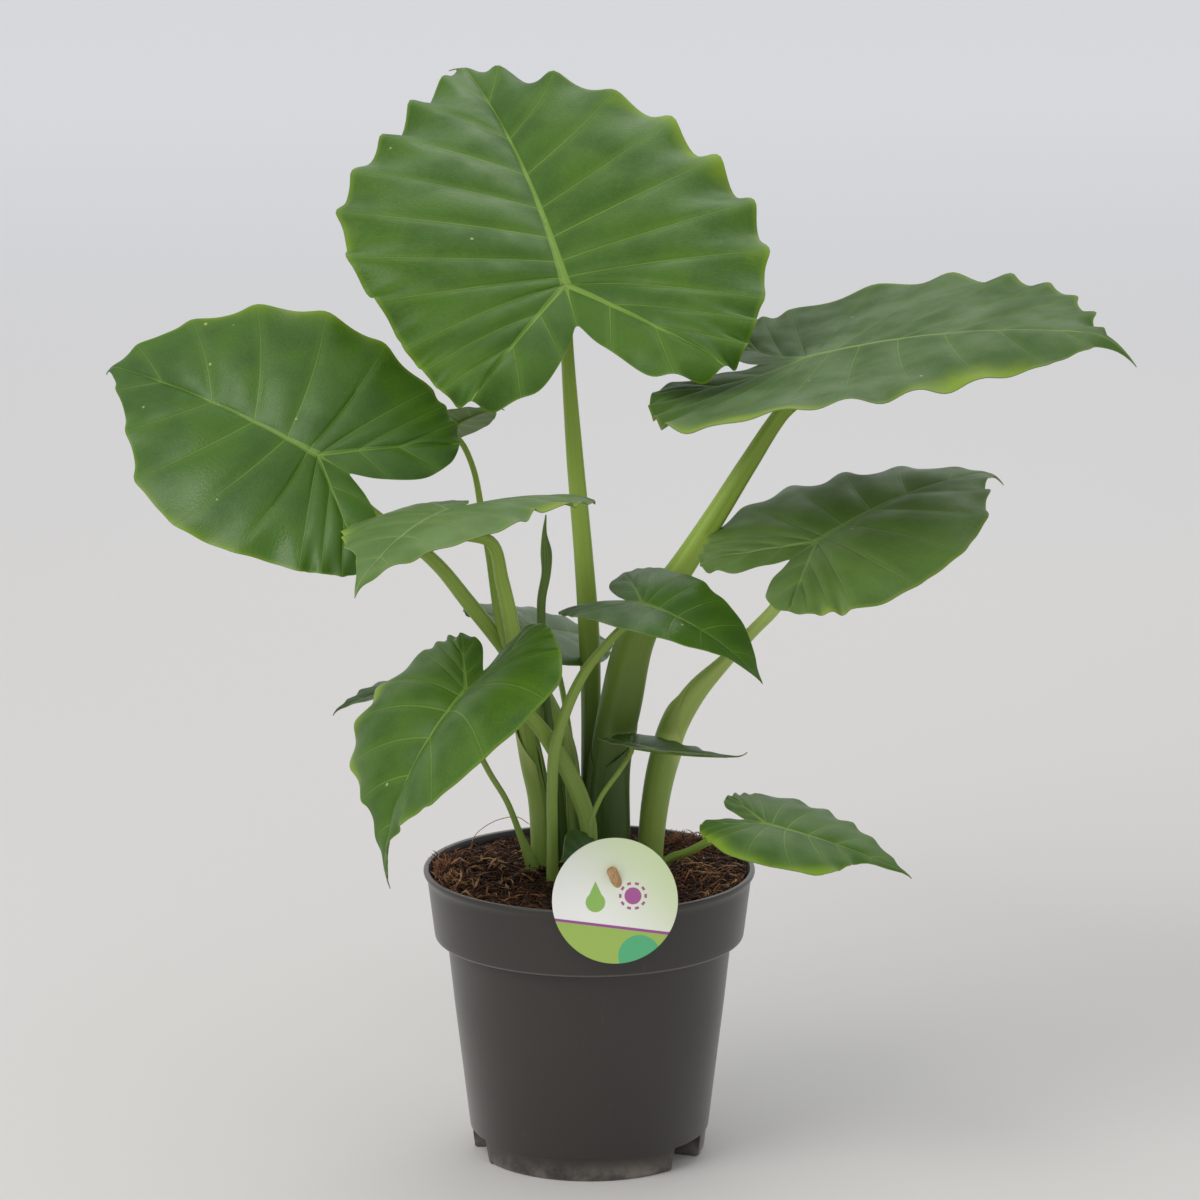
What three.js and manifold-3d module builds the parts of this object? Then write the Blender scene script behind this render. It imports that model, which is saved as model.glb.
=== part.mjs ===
// A potted alocasia gageana: thirteen leaves on their stalks, a rolled new leaf and a sheath leaf,
// rooted in coir substrate in a round nursery pot, with a round plant label held by a wooden peg.
// Millimetres, +Z up. The origin is the centre of the pot's underside, and -Y is the plant's front.
import * as THREE from "three";
import { mergeVertices } from "three/addons/utils/BufferGeometryUtils.js";
import Module from "manifold-3d";

const wasm = await Module();
wasm.setup();

// Driving dimensions
const TOUCH_GAP = 0.3; // between pieces that touch

const POT = {
  height: 185,
  rimRadius: 105,
  wall: 1.7,
  floorTop: 3.4,
  footHeight: 15.2,
  centreDiscRadius: 30,
  grooveDepth: 1.5,
  segments: 40,
};
// Cut-outs in the foot, by the compass angle of their middle, with a drain hole above each
const NOTCH = {
  angles: [17, 148, 197, 328],
  width: 27,
  innerRadius: 52,
  outerRadius: 90,
  shell: 1.8,
  drainRadius: 3.5,
  drainAt: 62,
};
const SOIL_TOP = [
  [99.8, 176.5],
  [90, 178],
  [70, 181.5],
  [40, 184],
];
const ROOTED_TO = 162; // height of the stalks' lower ends inside the substrate
const LABEL = { radius: 38.6, thickness: 1.2, centre: [16, -104.4, 192], tilt: 12 };
const PEG = { radius: 3, foot: [31, -80.5, 165], tip: [13.4, -106.9, 213.2], sides: 12 };
const BLADE_THICKNESS = 0.9;
const NECK = 3; // a stalk's last stretch, square to its blade, in radii

// Outline of a half blade: distance from the stalk's junction to the margin, as a share of the
// length from the junction to the tip, by the angle from the midrib
const OUTLINE = [
  [0, 1],
  [9, 0.83],
  [22, 0.7],
  [45, 0.615],
  [70, 0.575],
  [95, 0.555],
  [120, 0.565],
  [142, 0.59],
  [158, 0.48],
  [170, 0.28],
  [180, 0.14],
];
// Each leaf's half may be fuller or slimmer than that outline at these angles
const FULLNESS_ANGLES = [15, 45, 95, 145];
const PLAIN = [1, 1, 1, 1];

// The veins' layout: where the lobe's main vein lies, and how the side veins reach the margin
const LOBE_ANGLE = 142;
const SIDE_ANGLE = 97;
const LOBE_SHARE = 0.3;
const LOBE_VEIN_REACH = 0.85;
const SIDE_VEIN_START = 1.5;
const SIDE_VEIN_SWING = 1.6;
const MIDRIB_REACH = 0.97;

// Each leaf: junction of stalk and blade, the way the midrib points there (heading from +X towards
// +Y, rise above level, roll about the midrib), junction-to-tip length, the midrib's bends, the fold
// along it, the fall of the margin and of the lobes, and the stalk's centre line with its radii
const LEAVES = {
  top: {
    at: [-15, 45, 550], heading: 104, rise: 34, roll: -8, length: 269,
    droop: 17, sweep: 8, fold: 16, edge: 10, lobes: 1,
    left: [1.05, 1, 0.79, 0.8], right: [1, 0.94, 0.85, 0.81],
    stalk: [[2, 30, 187, 6.7], [1, 31, 220, 6.3], [1, 35, 285, 6.3], [0, 38, 324, 6.7],
      [-4, 45, 381, 6], [-9, 50, 438, 5.4], [-14, 54, 510, 4.1]],
  },
  right_high: {
    at: [135, 15, 509], heading: -25, rise: 17, roll: 9, length: 231,
    droop: 16, sweep: -15, fold: -7, edge: -8, lobes: -45,
    left: [1.04, 1.07, 1.17, 0.72], right: [1.1, 1.11, 1.08, 0.72],
    stalk: [[11, 6, 203, 14.3], [13, 6, 252, 12.7], [20, 6, 291, 13.3], [29, 8, 330, 12],
      [44, 9, 357, 9.5], [57, 11, 375, 8.2], [78, 14, 407, 7], [100, 18, 442, 6], [120, 22, 472, 5.1]],
  },
  left_high: {
    at: [-169, 0, 450], heading: 160, rise: 25, roll: -47, length: 170,
    droop: 27, sweep: 1, fold: 10, edge: 8, lobes: 16,
    left: [1.02, 1.05, 0.86, 0.84], right: [1.09, 1.07, 0.89, 0.88],
    stalk: [[-14, 26, 198, 5.4], [-14, 25, 228, 6.3], [-18, 22, 258, 6.3], [-31, 18, 289, 5.7],
      [-53, 12, 324, 5.1], [-77, 8, 356, 4.8], [-93, 6, 377, 4.4], [-109, 6, 392, 4.1],
      [-136, 8, 412, 3.8]],
  },
  left_mid: {
    at: [-86, -65, 428], heading: 245, rise: 2, roll: 8, length: 135,
    droop: 26, sweep: -1, fold: 5, edge: 14, lobes: 6,
    left: [0.97, 0.96, 0.79, 1.28], right: [0.91, 0.82, 0.88, 1.18],
    stalk: [[-30, 0, 182, 4.1], [-32, 0, 228, 3.8], [-37, -2, 254, 3.8], [-42, -8, 294, 3.5],
      [-48, -20, 344, 3.2], [-54, -34, 378, 2.9], [-60, -46, 404, 2.5]],
  },
  back_small: {
    at: [-87, 60, 458], heading: -35, rise: 28, roll: -18, length: 44,
    droop: 13, sweep: 0, fold: 9, edge: 6, lobes: 14,
    left: PLAIN, right: PLAIN,
    stalk: [[-27, 10, 184, 4.4], [-29, 10, 230, 4.1], [-33, 8, 255, 3.8], [-40, 5, 286, 3.5],
      [-50, 2, 322, 2.9], [-57, 6, 345, 2.5], [-63, 24, 380, 2.2], [-68, 40, 406, 2.2],
      [-73, 52, 430, 1.9], [-80, 57, 446, 1.9]],
  },
  left_low: {
    at: [-75, -85, 319], heading: 227, rise: -30, roll: 10, length: 137,
    droop: 65, sweep: -37, fold: 22, edge: 15, lobes: -25,
    left: [0.94, 1.04, 1.07, 0.78], right: [0.98, 1.18, 0.99, 0.64],
    stalk: [[0, -24, 202, 4.4], [-1, -24, 221, 4.4], [-10, -24, 247, 4.8], [-21, -25, 267, 5.1],
      [-33, -31, 286, 4.4], [-45, -44, 300, 3.8]],
  },
  left_small: {
    at: [-101, 5, 299], heading: 194, rise: 5, roll: 4, length: 65,
    droop: 29, sweep: 3, fold: 10, edge: 5, lobes: 15,
    left: PLAIN, right: PLAIN,
    stalk: [[-36, -12, 187, 4.1], [-44, -14, 211, 2.2], [-52, -15, 232, 1.9], [-62, -15, 249, 1.9],
      [-69, -14, 262, 1.9], [-80, -10, 278, 1.9], [-91, -3, 288, 1.9]],
  },
  centre: {
    at: [33, -45, 365], heading: -41, rise: -4, roll: 13, length: 96,
    droop: 53, sweep: 21, fold: 14, edge: 3, lobes: 27,
    left: [1.03, 0.8, 0.72, 0.98], right: [0.89, 0.8, 0.77, 0.92],
    stalk: [[-23, -34, 189, 3.8], [-23, -36, 216, 3.5], [-23, -38, 248, 3.5], [-21, -38, 273, 3.8],
      [-13, -37, 299, 3.5], [-2, -36, 321, 3.2], [8, -36, 334, 2.9], [20, -39, 348, 2.5]],
  },
  right_mid: {
    at: [141, -35, 402], heading: 34, rise: 23, roll: 7, length: 161,
    droop: 29, sweep: 8, fold: 9, edge: 17, lobes: -6,
    left: [1.03, 0.96, 0.89, 0.77], right: [0.99, 1.02, 0.94, 0.87],
    stalk: [[39, 12, 192, 7.6], [42, 11, 225, 8.2], [47, 8, 252, 8.6], [54, 4, 276, 8.2],
      [67, 0, 299, 7], [86, -6, 321, 4.4], [102, -14, 341, 3.8], [116, -22, 358, 3.8],
      [130, -30, 382, 3.5]],
  },
  right_narrow: {
    at: [27, -30, 272], heading: -25, rise: -6, roll: -8, length: 76,
    droop: -11, sweep: 8, fold: 12, edge: 3, lobes: 16,
    left: [0.85, 0.7, 0.6, 0.5], right: [0.85, 0.7, 0.6, 0.5],
    stalk: [[0, -42, 200, 1.9], [0, -42, 220, 1.6], [7, -40, 240, 1.6], [19, -37, 257, 1.6]],
  },
  right_low: {
    at: [109, -85, 235], heading: -18, rise: -9, roll: 6, length: 96,
    droop: 17, sweep: 11, fold: 7, edge: 10, lobes: 1,
    left: [1.02, 1, 1.02, 0.73], right: [0.87, 1.1, 1.02, 0.76],
    stalk: [[45, -22, 187, 3.2], [49, -26, 196, 2.9], [63, -40, 206, 2.5], [76, -55, 217, 2.5],
      [90, -68, 225, 2.5]],
  },
  back_low: {
    at: [-35, 60, 325], heading: 42, rise: -10, roll: 18, length: 80,
    droop: 15, sweep: 3, fold: 9, edge: 15, lobes: 12,
    left: PLAIN, right: PLAIN,
    stalk: [[-9, 46, 183, 2.5], [-10, 47, 229, 2.2], [-14, 50, 268, 1.9], [-23, 55, 306, 1.9]],
  },
  young: {
    at: [2, -60, 208], heading: 235, rise: 19, roll: -44, length: 36,
    droop: 16, sweep: 18, fold: 10, edge: 5, lobes: 10,
    left: PLAIN, right: PLAIN,
    stalk: [[5, -56, 188, 1.9], [4, -57, 197, 1.3]],
  },
};
const NEW_LEAF = [[-17, 10, 193, 3.5], [-21, 8, 239, 3.2], [-26, 7, 279, 2.8], [-29, 7, 318, 2.6],
  [-30, 6, 356, 2.8], [-27, 6, 374, 3], [-27, 6, 387, 3.6], [-28, 6, 399, 1.6], [-27, 6, 411, 0.4]];
const SHEATH_LEAF = [[-10, 13, 192, 3], [-12, 13, 225, 2.8], [-14, 12, 261, 2.4], [-15, 12, 274, 1.8],
  [-14, 12, 284, 0.4]];

// Materials
const paint = (color, roughness) => new THREE.MeshStandardMaterial({ color, roughness, metalness: 0 });
const POT_PLASTIC = paint(0x4b4642, 0.45);
const SUBSTRATE = paint(0x3a2418, 0.95);
const BLADE_GREEN = paint(0x4f7a2e, 0.45);
const STALK_GREEN = paint(0x6f8f3a, 0.5);
const SHEATH_GREEN = paint(0x93a860, 0.55);
const LABEL_CARD = paint(0xdfead0, 0.5);
const PEG_WOOD = paint(0xb48a5c, 0.7);

// Solids
function solidOf(geometry) {
  const bare = geometry.index ? geometry.toNonIndexed() : geometry.clone();
  const positions = new THREE.BufferGeometry().setAttribute("position", bare.getAttribute("position"));
  const welded = mergeVertices(positions, 1e-4);
  return new wasm.Manifold(
    new wasm.Mesh({
      numProp: 3,
      vertProperties: new Float32Array(welded.attributes.position.array),
      triVerts: new Uint32Array(welded.index.array),
    }),
  );
}

function geometryOf(solid) {
  const mesh = solid.getMesh();
  const positions = new Float32Array(mesh.numVert * 3);
  for (let i = 0; i < mesh.numVert; i++) {
    const from = i * mesh.numProp;
    positions.set(mesh.vertProperties.subarray(from, from + 3), i * 3);
  }
  return new THREE.BufferGeometry()
    .setAttribute("position", new THREE.BufferAttribute(positions, 3))
    .setIndex(new THREE.BufferAttribute(new Uint32Array(mesh.triVerts), 1));
}

const largestBody = (solid) =>
  solid.decompose().reduce((most, body) => (body.volume() > most.volume() ? body : most));

function boxesMeet(a, b) {
  const p = a.boundingBox();
  const q = b.boundingBox();
  return [0, 1, 2].every((k) => p.min[k] <= q.max[k] && q.min[k] <= p.max[k]);
}

// A solid less each of the others that comes near it, without the chips that the cuts leave
function cutBy(solid, others) {
  const near = others.filter((other) => boxesMeet(solid, other));
  return near.length ? largestBody(near.reduce((rest, other) => rest.subtract(other), solid)) : solid;
}

// Leaf blades
const radians = THREE.MathUtils.degToRad;

// A smooth curve through (x, y) pairs, level at its far end
function smoothValue(pairs, x) {
  const last = pairs.length - 1;
  let i = 0;
  while (i < last - 1 && x > pairs[i + 1][0]) i++;
  const slope = (a, b) => (pairs[b][1] - pairs[a][1]) / (pairs[b][0] - pairs[a][0]);
  const slopeAt = (k) => (k === last ? 0 : slope(Math.max(k - 1, 0), k + 1));
  const width = pairs[i + 1][0] - pairs[i][0];
  const t = (x - pairs[i][0]) / width;
  return (
    (2 * t ** 3 - 3 * t ** 2 + 1) * pairs[i][1] +
    (t ** 3 - 2 * t ** 2 + t) * width * slopeAt(i) +
    (-2 * t ** 3 + 3 * t ** 2) * pairs[i + 1][1] +
    (t ** 3 - t ** 2) * width * slopeAt(i + 1)
  );
}

// A straight-line reading of values given at the fullness angles
function fullnessAt(values, angle) {
  const last = FULLNESS_ANGLES.length - 1;
  if (angle <= FULLNESS_ANGLES[0]) return values[0];
  if (angle >= FULLNESS_ANGLES[last]) return values[last];
  const i = FULLNESS_ANGLES.findIndex((a) => a > angle) - 1;
  const t = (angle - FULLNESS_ANGLES[i]) / (FULLNESS_ANGLES[i + 1] - FULLNESS_ANGLES[i]);
  return values[i] + t * (values[i + 1] - values[i]);
}

// Distance from the junction to the margin of one half, in millimetres
function marginRadius(leaf, side, angle, grow) {
  const pairs = OUTLINE.map(([a, share]) => {
    const shared = a === 0 || a === 180;
    const fullness = shared ? 1 : fullnessAt(side > 0 ? leaf.left : leaf.right, a);
    return [a, share * fullness * leaf.length];
  });
  return smoothValue(pairs, angle) + grow;
}

// The leaf's own directions at the junction: along the midrib, to its left, and off its upper side
function leafAxes(leaf) {
  const heading = radians(leaf.heading);
  const rise = radians(leaf.rise);
  const along = new THREE.Vector3(
    Math.cos(rise) * Math.cos(heading),
    Math.cos(rise) * Math.sin(heading),
    Math.sin(rise),
  );
  const left = new THREE.Vector3(-Math.sin(heading), Math.cos(heading), 0);
  left.applyAxisAngle(along, radians(leaf.roll));
  return { along, left, up: along.clone().cross(left) };
}

// A point of the blade's middle surface, u along the flat midrib and v to its left
function bladePoint(leaf, axes, u, v) {
  const bend = u >= 0 ? radians(leaf.droop) / leaf.length : radians(leaf.lobes) / (0.6 * leaf.length);
  const turn = u >= 0 ? radians(leaf.sweep) / leaf.length : 0;
  const direction = (s) =>
    new THREE.Vector3()
      .addScaledVector(axes.along, Math.cos(bend * s) * Math.cos(turn * s))
      .addScaledVector(axes.left, Math.cos(bend * s) * Math.sin(turn * s))
      .addScaledVector(axes.up, -Math.sin(bend * s));
  const steps = 8;
  const point = new THREE.Vector3(...leaf.at);
  for (let k = 0; k < steps; k++) point.addScaledVector(direction((u * (k + 0.5)) / steps), u / steps);
  const left = new THREE.Vector3()
    .addScaledVector(axes.along, -Math.sin(turn * u))
    .addScaledVector(axes.left, Math.cos(turn * u));
  const up = direction(u).cross(left);
  const halfWidth = 0.56 * leaf.length;
  const q = Math.abs(v) / halfWidth;
  const fold = Math.tan(radians(leaf.fold));
  const fall = Math.tan(radians(leaf.edge));
  const height = halfWidth * (fold * q - ((fold + fall) * q * q) / 2);
  return point.addScaledVector(left, v).addScaledVector(up, height);
}

// A point of the flat blade by the vein it lies on: q runs from the lobe's end (0) over the
// junction (LOBE_SHARE) to the tip (1), and t from the midrib or lobe vein (0) to the margin (1)
function flatPoint(leaf, side, q, t, inner, grow) {
  const polar = (radius, angle) => [
    radius * Math.cos(radians(angle)),
    side * radius * Math.sin(radians(angle)),
  ];
  const lobePart = Math.max(0, 1 - q / LOBE_SHARE);
  const k = Math.max(0, (q - LOBE_SHARE) / (1 - LOBE_SHARE)) ** SIDE_VEIN_START;
  const lobeReach = LOBE_VEIN_REACH * marginRadius(leaf, side, LOBE_ANGLE, 0);
  const start = q < LOBE_SHARE ? polar(lobeReach * lobePart, LOBE_ANGLE) : [k * MIDRIB_REACH * leaf.length, 0];
  let angle = SIDE_ANGLE * (1 - k) ** SIDE_VEIN_SWING;
  if (inner) angle = LOBE_ANGLE + (180 - LOBE_ANGLE) * (1 - lobePart);
  else if (q < LOBE_SHARE) angle = SIDE_ANGLE + (LOBE_ANGLE - SIDE_ANGLE) * lobePart;
  const end = polar(marginRadius(leaf, side, angle, t === 1 ? grow : 0), angle);
  return [start[0] + (end[0] - start[0]) * t, start[1] + (end[1] - start[1]) * t];
}

// Triangles of the flat blade, all facing up
function flatTriangles(leaf, grow) {
  const columns = leaf.length > 90 ? 9 : 6;
  const lobeColumns = 3;
  const rows = leaf.length > 90 ? 3 : 2;
  const triangles = [];
  const patch = (side, from, to, count, inner) => {
    const at = (i, j) => flatPoint(leaf, side, from + ((to - from) * i) / count, j / rows, inner, grow);
    for (let i = 0; i < count; i++)
      for (let j = 0; j < rows; j++) {
        const corners = [at(i, j), at(i + 1, j), at(i + 1, j + 1), at(i, j + 1)];
        triangles.push([corners[0], corners[1], corners[2]], [corners[0], corners[2], corners[3]]);
      }
  };
  for (const side of [1, -1]) {
    patch(side, 0, LOBE_SHARE, lobeColumns, false);
    patch(side, LOBE_SHARE, 1, columns, false);
    patch(side, 0, LOBE_SHARE, lobeColumns, true);
  }
  const area = ([a, b, c]) => (b[0] - a[0]) * (c[1] - a[1]) - (c[0] - a[0]) * (b[1] - a[1]);
  return triangles
    .filter((tri) => Math.abs(area(tri)) > 1e-3)
    .map((tri) => (area(tri) > 0 ? tri : [tri[0], tri[2], tri[1]]));
}

// The closed blade: its middle surface thickened both ways, with a wall round the margin
function bladeGeometry(leaf, grow = 0) {
  const axes = leafAxes(leaf);
  const corners = [];
  const index = new Map();
  const cornerOf = ([u, v]) => {
    const key = Math.round(u * 1e3) + "," + Math.round(v * 1e3);
    if (!index.has(key)) {
      index.set(key, corners.length);
      corners.push([u, v]);
    }
    return index.get(key);
  };
  const faces = flatTriangles(leaf, grow).map((tri) => tri.map(cornerOf));
  const half = BLADE_THICKNESS / 2 + grow;
  const layers = corners.map(([u, v]) => {
    const point = bladePoint(leaf, axes, u, v);
    const du = bladePoint(leaf, axes, u + 0.5, v).sub(bladePoint(leaf, axes, u - 0.5, v));
    const dv = bladePoint(leaf, axes, u, v + 0.5).sub(bladePoint(leaf, axes, u, v - 0.5));
    const normal = du.cross(dv).normalize();
    return [point.clone().addScaledVector(normal, half), point.clone().addScaledVector(normal, -half)];
  });
  const edges = new Set(faces.flatMap(([a, b, c]) => [a + "," + b, b + "," + c, c + "," + a]));
  const positions = [];
  const add = (...points) => points.forEach((p) => positions.push(p.x, p.y, p.z));
  for (const [a, b, c] of faces) {
    add(layers[a][0], layers[b][0], layers[c][0]);
    add(layers[c][1], layers[b][1], layers[a][1]);
    for (const [p, q] of [[a, b], [b, c], [c, a]]) {
      if (edges.has(q + "," + p)) continue;
      add(layers[q][0], layers[p][0], layers[p][1]);
      add(layers[q][0], layers[p][1], layers[q][1]);
    }
  }
  return new THREE.BufferGeometry().setAttribute(
    "position",
    new THREE.Float32BufferAttribute(positions, 3),
  );
}

// Stalks: a round tube along a smooth line through [x, y, z, radius], with flat ends
function tubeGeometry(stations, sides, spacing, grow = 0) {
  const points = stations.map(([x, y, z]) => new THREE.Vector3(x, y, z));
  const curve = new THREE.CatmullRomCurve3(points, false, "centripetal");
  const rings = Math.max(stations.length, Math.round(curve.getLength() / spacing));
  const frames = curve.computeFrenetFrames(rings);
  const lengths = curve.getLengths(200);
  const shares = points.map((_, k) => lengths[Math.round((200 * k) / (points.length - 1))] / lengths[200]);
  const radiusAt = (s) => {
    let k = 0;
    while (k < shares.length - 2 && s > shares[k + 1]) k++;
    const t = (s - shares[k]) / (shares[k + 1] - shares[k]);
    return stations[k][3] + t * (stations[k + 1][3] - stations[k][3]) + grow;
  };
  const positions = [];
  const index = [];
  for (let i = 0; i <= rings; i++) {
    const centre = curve.getPointAt(i / rings);
    if (i === 0) centre.addScaledVector(frames.tangents[0], -grow);
    if (i === rings) centre.addScaledVector(frames.tangents[rings], grow);
    for (let j = 0; j < sides; j++) {
      const a = (j / sides) * 2 * Math.PI;
      const p = centre
        .clone()
        .addScaledVector(frames.normals[i], radiusAt(i / rings) * Math.cos(a))
        .addScaledVector(frames.binormals[i], radiusAt(i / rings) * Math.sin(a));
      positions.push(p.x, p.y, p.z);
      const next = i * sides + ((j + 1) % sides);
      const here = i * sides + j;
      if (i < rings) index.push(here, next, next + sides, here, next + sides, here + sides);
    }
  }
  for (let j = 1; j < sides - 1; j++) {
    index.push(0, j + 1, j);
    index.push(rings * sides, rings * sides + j, rings * sides + j + 1);
  }
  return new THREE.BufferGeometry()
    .setAttribute("position", new THREE.Float32BufferAttribute(positions, 3))
    .setIndex(index);
}

// A stem's stations, carried down into the substrate
const rooted = (stations) => [[stations[0][0], stations[0][1], ROOTED_TO, stations[0][3]], ...stations];

// A stalk's stations, turned up at the neck to meet the underside of its blade
function stalkStations(leaf) {
  const radius = leaf.stalk[leaf.stalk.length - 1][3];
  const junction = new THREE.Vector3(...leaf.at);
  const neck = junction.clone().addScaledVector(leafAxes(leaf).up, -NECK * radius);
  return [...rooted(leaf.stalk), [...neck.toArray(), radius], [...junction.toArray(), radius]];
}

// Pot
const revolve = (profile, segments = POT.segments) =>
  solidOf(
    new THREE.LatheGeometry(
      profile.map(([r, z]) => new THREE.Vector2(r, z)),
      segments,
    ).rotateX(Math.PI / 2),
  );

// A sector of a ring, standing between two heights
function ringSector(inner, outer, middle, width, bottom, top) {
  const shape = new THREE.Shape();
  const from = radians(middle - width / 2);
  const to = radians(middle + width / 2);
  shape.absarc(0, 0, outer, from, to, false);
  shape.absarc(0, 0, inner, to, from, true);
  shape.closePath();
  const sector = new THREE.ExtrudeGeometry(shape, {
    depth: top - bottom,
    bevelEnabled: false,
    curveSegments: 3,
  });
  return solidOf(sector.translate(0, 0, bottom));
}

function potWall() {
  const { height, rimRadius, centreDiscRadius, grooveDepth, footHeight } = POT;
  return [
    [0, 0],
    [centreDiscRadius, 0],
    [centreDiscRadius + 2, grooveDepth],
    [57, grooveDepth],
    [59, 0],
    [72.2, 0],
    [73.6, 3],
    [75, footHeight],
    [75.8, footHeight + 0.6],
    [85.8, 98],
    [90.2, 139.4],
    [91, 140.4],
    [96.8, 141],
    [98, 142.2],
    [98.5, 145],
    [102, 174],
    [102.6, 178],
    [104.2, 181],
    [rimRadius, 183],
    [rimRadius, height - 0.4],
    [rimRadius - 0.6, height],
  ];
}

// The inside of the pot, drawn in by a gap for what fills it
const potInside = (gap) => [
  [0, POT.floorTop + gap],
  [72.6 - gap, POT.floorTop + gap],
  [74.2 - gap, 17],
  [84.1 - gap, 98],
  [88.5 - gap, 141.6 + gap],
  [94.8 - gap, 143.2 + gap],
  [96.4 - gap, 146],
  [99.6 - gap, 172],
  [100.4 - gap, 178],
];

// The recesses over the foot's cut-outs, each with its shell
const notchShells = (grow) =>
  NOTCH.angles.map((angle) =>
    ringSector(
      NOTCH.innerRadius - NOTCH.shell - grow,
      NOTCH.outerRadius,
      angle,
      NOTCH.width + 4 + 2 * grow,
      0,
      POT.footHeight + NOTCH.shell + grow,
    ),
  );

function drainHole(angle) {
  const hole = new THREE.CylinderGeometry(NOTCH.drainRadius, NOTCH.drainRadius, 12, 10);
  hole.rotateX(Math.PI / 2);
  const at = radians(angle);
  hole.translate(NOTCH.drainAt * Math.cos(at), NOTCH.drainAt * Math.sin(at), POT.footHeight);
  return solidOf(hole);
}

function pot() {
  const outside = [...potWall(), [0, POT.height]];
  const inside = [...potInside(0), [rimInner(), POT.height - 1], [rimInner() + 1, POT.height + 1]];
  let cavity = revolve([...inside, [0, POT.height + 1]]);
  for (const shell of notchShells(0)) cavity = cavity.subtract(shell);
  let body = revolve(outside).subtract(cavity);
  for (const angle of NOTCH.angles) {
    const { innerRadius, outerRadius, width } = NOTCH;
    body = body.subtract(ringSector(innerRadius, outerRadius, angle, width, -1, POT.footHeight));
    body = body.subtract(drainHole(angle));
  }
  return body;
}

function rimInner() {
  return POT.rimRadius - 2 * POT.wall;
}

// Substrate: fills the pot to just under the rim, heaped a little round the crown
function substrate(sockets) {
  let plug = revolve([...potInside(TOUCH_GAP).slice(0, -1), ...SOIL_TOP, [0, SOIL_TOP.at(-1)[1]]]);
  for (const shell of notchShells(TOUCH_GAP)) plug = plug.subtract(shell);
  return cutBy(plug, sockets);
}

// Label and peg
function labelDisc() {
  const { radius, thickness, centre, tilt } = LABEL;
  const disc = new THREE.CylinderGeometry(radius, radius, thickness, 40);
  disc.rotateX(-radians(tilt));
  return solidOf(disc.translate(...centre));
}

const pegStations = [
  [...PEG.foot, PEG.radius],
  [...PEG.tip, PEG.radius],
];

// The pieces
const stalkSides = (leaf) => (leaf.stalk[0][3] > 5 ? 10 : 7);
const stalkSpacing = (leaf) => (leaf.stalk[0][3] > 5 ? 32 : 26);

// A stalk, ending flat just under its blade
function stalkSolid(leaf, grow) {
  const tube = solidOf(tubeGeometry(stalkStations(leaf), stalkSides(leaf), stalkSpacing(leaf), grow));
  const below = leafAxes(leaf).up.negate();
  const radius = leaf.stalk.at(-1)[3];
  const fall = radius * Math.tan(radians(Math.max(0, -leaf.fold)));
  const depth = BLADE_THICKNESS / 2 + TOUCH_GAP + fall - grow;
  return tube.trimByPlane(below.toArray(), below.dot(new THREE.Vector3(...leaf.at)) + depth);
}

const leaves = Object.entries(LEAVES);
const bladeSolids = leaves.map(([, leaf]) => solidOf(bladeGeometry(leaf)));
const bladeClearances = leaves.map(([, leaf]) => solidOf(bladeGeometry(leaf, TOUCH_GAP)));
const stalkClearances = leaves.map(([, leaf]) => stalkSolid(leaf, TOUCH_GAP));
const rolled = (stations, grow) => solidOf(tubeGeometry(rooted(stations), 8, 14, grow));
const peg = solidOf(tubeGeometry(pegStations, PEG.sides, 40));
const pegClearance = solidOf(tubeGeometry(pegStations, PEG.sides, 40, TOUCH_GAP));

const potted = new THREE.Group();
const place = (name, solid, material) => {
  const mesh = new THREE.Mesh(geometryOf(solid), material);
  mesh.name = name;
  potted.add(mesh);
};

place("pot", pot(), POT_PLASTIC);
place(
  "substrate",
  substrate([
    ...stalkClearances,
    rolled(NEW_LEAF, TOUCH_GAP),
    rolled(SHEATH_LEAF, TOUCH_GAP),
    pegClearance,
  ]),
  SUBSTRATE,
);
leaves.forEach(([name, leaf], i) => {
  place("blade_" + name, cutBy(bladeSolids[i], bladeClearances.slice(0, i)), BLADE_GREEN);
  const otherBlades = bladeClearances.filter((_, k) => k !== i);
  const stalk = cutBy(stalkSolid(leaf, 0), [...otherBlades, ...stalkClearances.slice(0, i)]);
  place("stalk_" + name, stalk, STALK_GREEN);
});
place("new_leaf", cutBy(rolled(NEW_LEAF, 0), [...bladeClearances, ...stalkClearances]), STALK_GREEN);
place("sheath_leaf", cutBy(rolled(SHEATH_LEAF, 0), stalkClearances), SHEATH_GREEN);
place("label", cutBy(labelDisc(), [pegClearance]), LABEL_CARD);
place("label_peg", peg, PEG_WOOD);

export default potted;
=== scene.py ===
import math

import bpy
import numpy as np
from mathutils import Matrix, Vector, noise


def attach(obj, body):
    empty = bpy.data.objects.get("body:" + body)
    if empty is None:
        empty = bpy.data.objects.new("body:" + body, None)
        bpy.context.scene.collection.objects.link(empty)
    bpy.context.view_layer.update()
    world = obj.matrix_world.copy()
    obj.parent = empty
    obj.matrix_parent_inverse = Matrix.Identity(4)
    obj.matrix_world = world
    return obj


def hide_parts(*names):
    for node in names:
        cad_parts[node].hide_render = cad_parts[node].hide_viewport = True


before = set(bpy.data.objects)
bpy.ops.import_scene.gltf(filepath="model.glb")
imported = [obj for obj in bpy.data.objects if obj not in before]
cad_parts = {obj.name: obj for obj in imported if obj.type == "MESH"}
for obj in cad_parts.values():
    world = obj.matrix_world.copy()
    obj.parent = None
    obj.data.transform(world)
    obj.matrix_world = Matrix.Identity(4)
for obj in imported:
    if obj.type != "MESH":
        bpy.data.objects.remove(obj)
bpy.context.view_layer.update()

MM = 0.001
chance = np.random.default_rng(7)

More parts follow.
